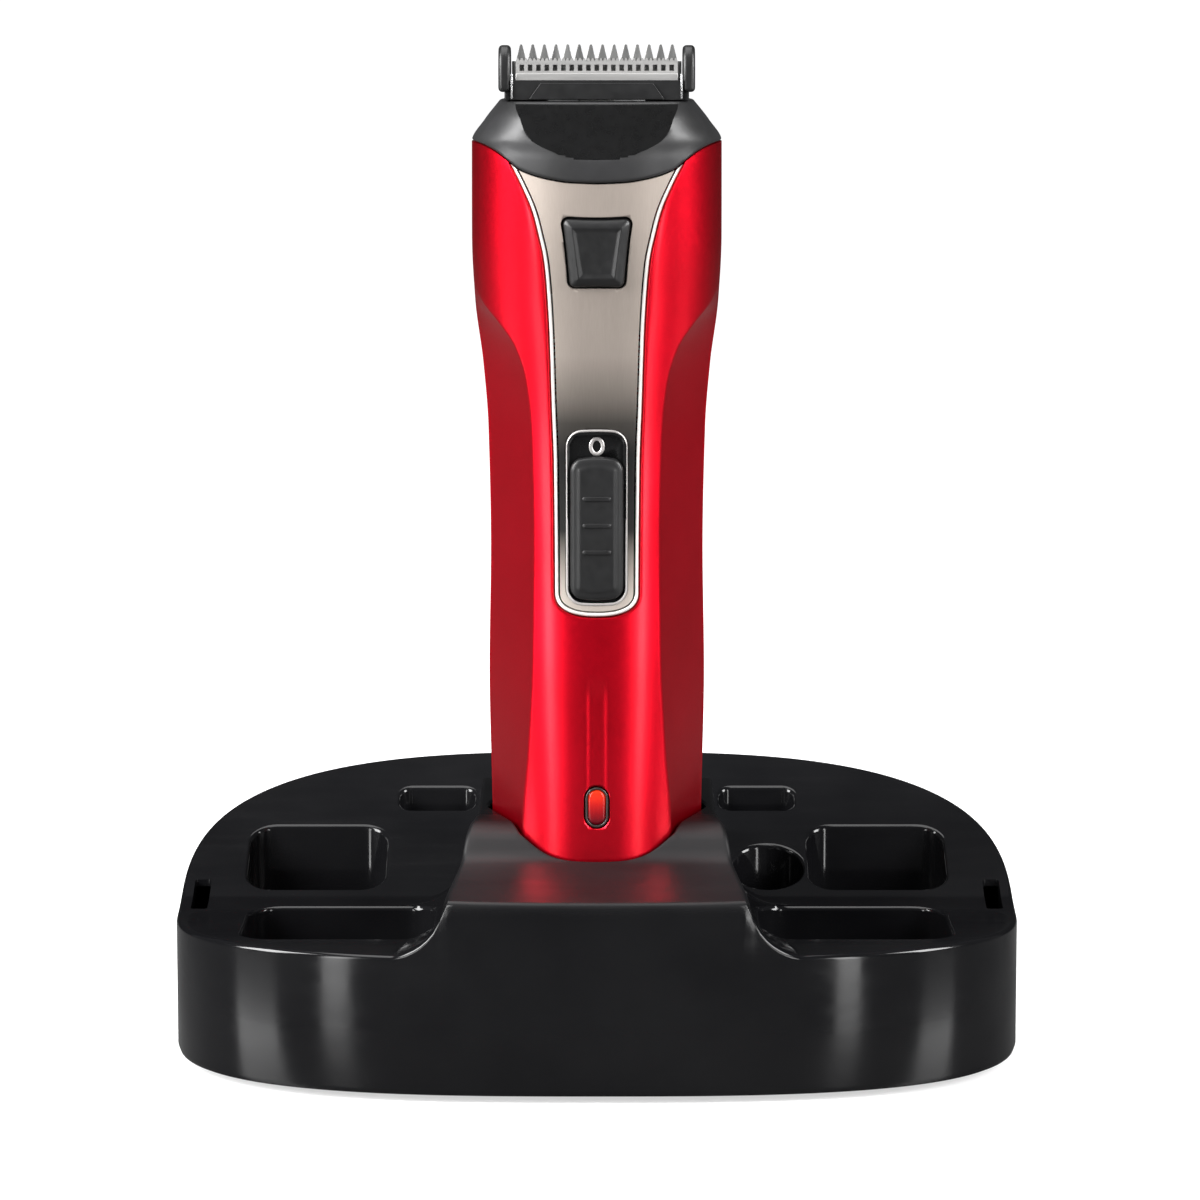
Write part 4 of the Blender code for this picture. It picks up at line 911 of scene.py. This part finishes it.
def head_housing(looks):
    """Black head: a satin band round a darker, flatter front facet."""
    inner = [head_ring(t, 2.0) for t in (0.7, 0.4, 0.0)]
    outer = [head_ring(0.0, 0.35), head_ring(0.012, 0.12)]
    outer += [head_ring(t, 0.0) for t in spaced(0.03, 0.975, 44)]
    outer += [head_ring(0.99, 0.15), head_ring(1.0, 0.5)]
    housing = loft("head_shell", inner + outer, 30)
    cut(housing, block("slot", (-9, AXIS_Y - 9.7, 174), (9, AXIS_Y + 2, 190)))
    dress(housing, looks["band_black"], "head", "head_housing")
    housing.data.materials.append(looks["facet_black"]["material"])
    for face in housing.data.polygons:
        x, y, z = (c / MM for c in face.center)
        depth = AXIS_Y - curve_at(FACET, z)
        if abs(y - depth) < 0.02 and z < HEAD_TOP - 0.3 and face.normal.y < -0.3:
            face.material_index = 1
    return housing


def blade_holder(looks):
    """Bar below the blades with a raised panel, and a round-topped guard at each end."""
    front = BLADE_Y - 0.6
    half = GUARD_IN + 0.1
    bar = block("blade_bar", (-half, front - 0.1, BAR_Z0), (half, front + 7.5, BAR_Z1))
    cut(bar, block("pocket", (-GUARD_IN, BLADE_Y - GAP, BAR_Z1 - 2.2), (GUARD_IN, BLADE_Y + 3.7, BAR_Z1 + 8)),
        block("fork_way", (-6.5, BLADE_Y + 1.2, BAR_Z0 - 3), (6.5, BLADE_Y + 5.5, BAR_Z1 + 8)))
    panel = [(-12.4, BAR_Z0 + 0.15), (12.4, BAR_Z0 + 0.15), (10.3, BAR_Z1 - 0.55), (-10.3, BAR_Z1 - 0.55)]
    join(bar, prism("panel", panel, front - 0.5, front + 0.2, "Y"))
    soften(bar, 0.22)
    dress(bar, looks["satin_black"], "head", "blade_holder")
    for name, side in SIDES:
        x0, x1 = sorted((side * GUARD_IN, side * GUARD_OUT))
        mid_y, half_y = front + 3.75, 3.75
        profile = [(front, GUARD_Z0), (front + 7.5, GUARD_Z0), (front + 7.5, 188.5)]
        profile += [(mid_y + half_y * math.cos(a) * 0.9, 189.6 + 3.9 * math.sin(a))
                    for a in (math.radians(d) for d in range(15, 166, 10))]
        guard = prism(f"guard_{name}", [(front, GUARD_Z0), *profile[1:], (front, 189.5)], x0, x1, "X")
        soften(guard, 0.75, 4)
        dress(guard, looks["satin_black"], "head")
        n0, n1 = sorted((side * (GUARD_IN + 0.02), side * (GUARD_IN + 1.2)))
        neck = block(f"guard_neck_{name}", (n0, front + 1.2, BAR_Z0 - 0.2), (n1, front + 6.4, GUARD_Z0 + 1.5))
        soften(neck, 0.25)
        dress(neck, looks["satin_black"], "head")


def cells_plate(name, xs, zs, holes, y, t, extra=()):
    """A flat plate from a grid of cells, some left open, plus extra outlines welded on."""
    def cell(i, j):
        return [(xs[i], y, zs[j]), (xs[i + 1], y, zs[j]), (xs[i + 1], y, zs[j + 1]), (xs[i], y, zs[j + 1])]
    work = bmesh.new()
    for i in range(len(xs) - 1):
        for j in range(len(zs) - 1):
            if (i, j) not in holes:
                work.faces.new([work.verts.new(p) for p in cell(i, j)])
    for outline in extra:
        work.faces.new([work.verts.new((x, y, z)) for x, z in outline])
    return closed(name, work, backed(t), 30)


def blades(looks):
    """Moving cutter with its row of windows, fixed comb with pointed teeth behind it."""
    half_w = WINDOW_W / 2
    xs = [-CUTTER_HALF]
    for i in range(WINDOWS):
        x = (i - (WINDOWS - 1) / 2) * WINDOW_PITCH
        xs += [x - half_w, x + half_w]
    xs.append(CUTTER_HALF)
    top = CUTTER_Z1 - 0.55
    zs = [BLADE_FOOT, WINDOW_Z - WINDOW_H / 2, WINDOW_Z + WINDOW_H / 2, top]
    holes = {(2 * i + 1, 1) for i in range(WINDOWS)}
    teeth = []
    for a, b in zip(xs, xs[1:]):
        mid, w = (a + b) / 2, (b - a)
        teeth.append([(a, top), (b, top), (mid + w * 0.18, CUTTER_Z1), (mid - w * 0.18, CUTTER_Z1)])
    cutter = cells_plate("cutter_plate", xs, zs, holes, BLADE_Y, CUTTER_T, teeth)
    dress(cutter, looks["cutter_steel"], "cutter", "blade_cutter")

    lip = [(-CUTTER_HALF, LIP_Z0), (CUTTER_HALF, LIP_Z0), (CUTTER_HALF, LIP_Z1), (-CUTTER_HALF, LIP_Z1)]
    lip = prism("cutter_lip", lip, BLADE_Y - 0.28, BLADE_Y - 0.02, "Y")
    soften(lip, 0.12)
    dress(lip, looks["cutter_steel"], "cutter")
    for name, side in SIDES:
        x0, x1 = sorted((side * (GUARD_IN - 0.35), side * (GUARD_IN - 0.05)))
        leg = block(f"blade_leg_{name}", (x0, BLADE_Y - 1.0, BAR_Z0 + 0.2), (x1, BLADE_Y - 0.75, 188.4))
        soften(leg, 0.08)
        dress(leg, looks["bright_steel"], "head")

    y = BLADE_Y + CUTTER_T + GAP
    points = [(-COMB_HALF, BLADE_FOOT), (COMB_HALF, BLADE_FOOT), (COMB_HALF, COMB_ROOT)]
    for i in range(COMB_TEETH):
        x = ((COMB_TEETH - 1) / 2 - i) * COMB_PITCH
        points += [(x + TOOTH_HALF, COMB_ROOT), (x + 0.24, COMB_TIP - 0.1), (x, COMB_TIP),
                   (x - 0.24, COMB_TIP - 0.1), (x - TOOTH_HALF, COMB_ROOT)]
    points.append((-COMB_HALF, COMB_ROOT))
    comb = prism("comb_plate", points, y, y + COMB_T, "Y")
    for v in comb.data.vertices:
        rise = max(0.0, v.co.z / MM - COMB_ROOT) / (COMB_TIP - COMB_ROOT)
        middle = (y + COMB_T * 0.35) * MM
        v.co.y += (middle - v.co.y) * 0.55 * rise
    soften(comb, 0.07, 1, 50)
    dress(comb, looks["comb_steel"], "head", "blade_comb")


# ---- stand ----
def super_ring(a, b, z=None, n=432):
    """The stand's outline; its height is z, or a function of x and y."""
    ring = []
    for i in range(n):
        t = 2 * math.pi * (i + 0.5) / n
        x, y = a * power(math.cos(t), 2 / STAND_EXP), b * power(math.sin(t), 2 / STAND_EXP)
        ring.append((x, y, z(x, y) if callable(z) else z))
    return ring


def deck_height(y):
    """Flat in front, rising towards the back, with a soft turn between the two."""
    rise = DECK_SLOPE * (y + math.hypot(y, DECK_TURN)) / 2
    return DECK_Z + rise - DECK_SLOPE * DECK_TURN / 2 * ramp(-40, 0, y)


def saddle_half(y):
    return SADDLE_HALF_FRONT + (SADDLE_HALF - SADDLE_HALF_FRONT) * ramp(-50, -14, y)


def saddle_edge(y):
    """Half width, top height and edge position of the saddle at a depth y, and the flank's last angle."""
    half = saddle_half(y)
    top = curve_at(SADDLE, y)
    climb = top - EDGE_R - (DECK_Z - FLANK_SINK)
    last = 90.0 if climb >= FLANK_R else math.degrees(math.acos(1 - max(0.0, climb) / FLANK_R))
    return half, top, half + FLANK_R * (1 - math.sin(math.radians(last))), last


def surface(x, y):
    """Height of the stand's upper surface: deck, hollow flank, rounded edge and saddle top."""
    half, top, edge, _ = saddle_edge(y)
    side = abs(x)
    if side >= half + FLANK_R:
        z = 0.0
    elif side >= edge:
        z = DECK_Z - FLANK_SINK + FLANK_R - math.sqrt(max(0.0, FLANK_R ** 2 - (half + FLANK_R - side) ** 2))
    elif side >= edge - EDGE_R:
        z = top - EDGE_R + math.sqrt(max(0.0, EDGE_R ** 2 - (side - edge + EDGE_R) ** 2))
    else:
        z = top
    return max(z, deck_height(y))


def surface_row(y):
    """Points across the stand at depth y, packed where the flank and its edge curve."""
    half, top, edge, last = saddle_edge(y)
    low = DECK_Z - FLANK_SINK
    right = [(x, top) for x in spaced(0, edge - EDGE_R, 24)]
    for a in spaced(90, 0, 6)[1:]:
        a = math.radians(a)
        right.append((edge - EDGE_R + EDGE_R * math.cos(a), top - EDGE_R + EDGE_R * math.sin(a)))
    for a in spaced(last, 0, 24):
        a = math.radians(a)
        right.append((half + FLANK_R * (1 - math.sin(a)) + STEEP * (a < math.radians(last)),
                      low + FLANK_R * (1 - math.cos(a))))
    right += [(x, 0.0) for x in spaced(half + FLANK_R, 90.0, 12)[1:]]
    row = [(-x, z) for x, z in reversed(right[1:])] + right
    return [(x, y, max(z, deck_height(y))) for x, z in row]


def under_surface():
    """Everything below the stand's upper surface."""
    rows = [surface_row(y) for y in spaced(-54.0, 54.0, 108)]
    work = bmesh.new()
    top = [[work.verts.new(p) for p in row] for row in rows]
    bottom = [[work.verts.new((x, y, -5.0)) for x, y, _ in row] for row in rows]
    for grid in (top, bottom):
        for a, b in zip(grid, grid[1:]):
            for i in range(len(a) - 1):
                work.faces.new((a[i], a[i + 1], b[i + 1], b[i]))
    rim = []
    for grid in (top, bottom):
        right, left = [row[-1] for row in grid[1:]], [row[0] for row in grid[-2:0:-1]]
        rim.append(grid[0] + right + grid[-1][-2::-1] + left)
    for i in range(len(rim[0])):
        j = (i + 1) % len(rim[0])
        work.faces.new((rim[0][i], rim[0][j], rim[1][j], rim[1][i]))
    return finish_mesh("under", work)


def rolled_wall():
    """The stand's outer wall, its top edge rolled inwards onto the upper surface."""
    foot = ((1.0, SHELL_Z0), (0.3, SHELL_Z0 + 0.35), (0.0, SHELL_Z0 + 1.2), (0.0, 14.0))
    rings = [super_ring(STAND_A - inset, STAND_B - inset, z) for inset, z in foot]
    for degrees in (0, 20, 40, 60, 75, 86):
        a = math.radians(degrees)
        inset = LIP_R * (1 - math.cos(a))
        drop = LIP_R * (1 - math.sin(a))
        rings.append(super_ring(STAND_A - inset, STAND_B - inset, lambda x, y: surface(x, y) - drop))
    rings.append(super_ring(STAND_A - inset, STAND_B - inset, STAND_TOP))
    return loft("stand_skin", rings)


def mouth(outline, floor, flare):
    """Cutter for a well: rounded floor edge, straight wall, and a mouth that flares onto the surface."""
    rings = []
    for inset, rise in ((1.2, 0.0), (0.6, 0.16), (0.16, 0.6), (0.0, 1.2)):
        rings.append([(x, y, floor + rise) for x, y in outline(-inset)])
    for degrees in (0, 22, 45, 66, 84):
        a = math.radians(degrees)
        out = outline(flare * (1 - math.cos(a)))
        rings.append([(x, y, surface(x, y) - flare * (1 - math.sin(a))) for x, y in out])
    rings.append([(x, y, STAND_TOP + 5) for x, y in out])
    return loft("mouth", rings)


def well_outline(well, grow):
    """A well's outline; its straight sides are divided so that a mouth can follow the surface."""
    x, y, sx, sy, r = well[:5]
    corners = rounded(x, y, sx + 2 * grow, sy + 2 * grow, r + grow)
    return divided(corners, lambda i: 16 if i % 9 == 8 else 1)


def cradle_outline(grow):
    return [(x, y) for x, y, _ in section_ring(50.0, -grow - CRADLE_CLEAR)]


def inner_saddle(inset):
    half = SADDLE_HALF_FRONT - inset
    low = DECK_Z - inset
    arc = [(half + FLANK_R * (1 + math.cos(a)), low + FLANK_R * (1 + math.sin(a)) - FLANK_SINK)
           for a in (math.radians(d) for d in spaced(270, 180, 8))]
    right = [(half + FLANK_R, -4.0)] + arc + [(half, STAND_TOP)]
    outline = right + [(-x, z) for x, z in reversed(right)]
    rings = []
    for y in (-62.0, -50.0, -14.0, 30.0):
        k = (saddle_half(y) - inset) / half
        rings.append([(x * k, y - inset * (y > 0), z) for x, z in outline])
    side = [(-70, -10), (40, -10), (40, 30)]
    side += [(y, z - inset) for y, z in reversed(SADDLE)] + [(-70, 31 - inset)]
    return boolean(loft("saddle", rings), prism("profile", side, -100, 100, "X"), "INTERSECT")


def inner_deck(inset):
    front, back = DECK_Z - inset, DECK_Z + 70 * DECK_SLOPE - inset
    side = [(-70, -5), (70, -5), (70, back), (0, front), (-70, front)]
    return prism("deck", side, -100, 100, "X")


def stand_hollow():
    """The space inside the stand, with walls left round each well and the cradle."""
    hollow = loft("hollow", [super_ring(STAND_A - WALL, STAND_B - WALL, z, 96) for z in (-3.0, STAND_TOP)])
    boolean(hollow, join(inner_deck(WALL), inner_saddle(WALL)), "INTERSECT")
    wall = WALL - 0.4
    for x, y, sx, sy, r, floor in WELLS.values():
        pot = rounded(x, y, sx + 2 * wall, sy + 2 * wall, r + wall, 5)
        cut(hollow, prism("pot", pot, floor - WALL, STAND_TOP))
    cut(hollow, prism("pot", cradle_outline(wall), CRADLE_FLOOR - WALL, STAND_TOP))
    return hollow


def stand_shell(looks):
    """Glossy tray with wells for the accessories and the saddle that holds the trimmer."""
    body = boolean(rolled_wall(), under_surface(), "INTERSECT")
    cut(body, stand_hollow())
    for well in WELLS.values():
        cut(body, mouth(lambda grow, well=well: well_outline(well, grow), well[-1], 0.7))
    cut(body, mouth(cradle_outline, CRADLE_FLOOR, 0.6))
    cut(body, block("pins", (-PIN_BLOCK[0] - GAP, AXIS_Y - PIN_BLOCK[1] - GAP, 10),
                    (PIN_BLOCK[0] + GAP, AXIS_Y + PIN_BLOCK[1] + GAP, 40)))
    x, y, sx, sy, low = END_SLOT
    for side in (-1, 1):
        cut(body, prism("slot", rounded(side * x, y, sx, sy, 0.6, 4), low, 60))
    cut(body, block("inlet", *INLET))
    body.data.shade_smooth()
    body.data.set_sharp_from_angle(angle=math.radians(38))
    return dress(body, looks["gloss_black"], "stand", "stand_shell")


def feet(looks):
    profile = [(0.25, 4.3), (0.0, 4.6), (0.0, 5.4), (0.2, 5.85), (0.45, 6.0), (FOOT_TOP, 6.0)]
    for name, (x, y) in FEET.items():
        foot = turned(f"rubber_foot_{name}", x, y, profile)
        dress(foot, looks["foot_rubber"], "stand", f"foot_{name}")


# ---- carried-over nodes ----
def dress_nodes(looks):
    """Give every node that stays visible the material of its record slot."""
    slots = {part["node"]: part["material_slot"] for part in frame["record"]["subparts"]}
    for name, node in frame["nodes"].items():
        if node.hide_render:
            continue
        node.data.materials.clear()
        node.data.materials.append(looks[slots[name]]["material"])


# ---- studio, in metres ----
LIGHT_AIM = (0.0, -0.014, 0.11)
LIGHTS = [                    # name, place, size, watts
    ("strip_left", (-0.56, -0.82, 0.28), (0.13, 0.6), 3.2),
    ("strip_right", (0.53, -0.86, 0.28), (0.11, 0.6), 2.6),
    ("soft_left", (-0.90, -0.40, 0.60), (0.44, 0.8), 32),
    ("soft_right", (0.90, -0.40, 0.58), (0.34, 0.7), 19),
    ("soft_top", (-0.1, 0.0, 1.1), (1.0, 0.6), 8),
]


def floor():
    """Pale sweep: flat under the stand, curving up far behind it."""
    half, radius, back = 6.0, 2.0, 3.0
    profile = [(-6.0, 0.0), (back, 0.0)]
    profile += [(back + radius * math.sin(a), radius - radius * math.cos(a))
                for a in (math.radians(d) for d in range(10, 91, 10))]
    profile.append((back + radius, 5.0))
    work = bmesh.new()
    rows = [[work.verts.new((x, y, z)) for y, z in profile] for x in (-half, half)]
    for i in range(len(profile) - 1):
        work.faces.new((rows[0][i], rows[1][i], rows[1][i + 1], rows[0][i + 1]))
    mesh = bpy.data.meshes.new("floor")
    work.to_mesh(mesh)
    work.free()
    mesh.shade_smooth()
    obj = bpy.data.objects.new("floor", mesh)
    bpy.context.scene.collection.objects.link(obj)
    look = Look("pale_floor", Specular_IOR_Level=0.35)
    look.colour(look.shades(look.noise(400.0, 2.0), (0.3, (0.50,) * 3), (0.7, (0.53,) * 3)))
    look.feed("Emission Color", (1, 1, 1, 1))
    look.feed("Emission Strength", look.between(look.along("Y"), 0.08, 1.0, (-230.0, 110.0)))
    look.rough(30.0, 0.16, 0.2)
    dim = look.node("ShaderNodeBsdfPrincipled", {"Base Color": (0.12, 0.12, 0.12, 1), "Roughness": 0.22})
    seen = look.node("ShaderNodeLightPath").outputs["Is Camera Ray"]
    choose = look.node("ShaderNodeMixShader", {0: seen, 1: dim.outputs["BSDF"], 2: look.shader.outputs["BSDF"]})
    look.put(choose.outputs["Shader"], look.tree.nodes["Material Output"].inputs["Surface"])
    obj.data.materials.append(look.material)


def area_light(name, place_at, size, watts):
    data = bpy.data.lights.new(name, "AREA")
    data.shape = "RECTANGLE"
    data.size, data.size_y = size
    data.energy = watts
    obj = bpy.data.objects.new(name, data)
    obj.location = place_at
    obj.rotation_euler = (Vector(LIGHT_AIM) - Vector(place_at)).to_track_quat("-Z", "Y").to_euler()
    bpy.context.scene.collection.objects.link(obj)


def studio():
    floor()
    for light in LIGHTS:
        area_light(*light)
    world = bpy.data.worlds.new("studio")
    world.use_nodes = True
    background = world.node_tree.nodes["Background"].inputs
    background["Color"].default_value = (0.8, 0.82, 0.85, 1.0)
    background["Strength"].default_value = 0.12
    bpy.context.scene.world = world
    bpy.context.scene.view_settings.view_transform = "Standard"


def camera():
    """Long lens in front, a little above the trimmer's head and looking slightly down."""
    data = bpy.data.cameras.new("camera")
    data.lens = 142.0
    data.sensor_width = 36.0
    data.clip_end = 50.0
    obj = bpy.data.objects.new("camera", data)
    obj.location = (0.0006, -0.90, 0.2228)
    obj.rotation_euler = (math.radians(81.4), 0.0, 0.0)
    bpy.context.scene.collection.objects.link(obj)
    bpy.context.scene.camera = obj


made_looks = make_looks()
for make in (front_shell, rear_shell, bottom_cap, face_plate, plate_trim, release_button, switch_track,
             switch_slider, charge_light, head_housing, blade_holder, blades, stand_shell, feet, dress_nodes):
    make(made_looks)
studio()
camera()
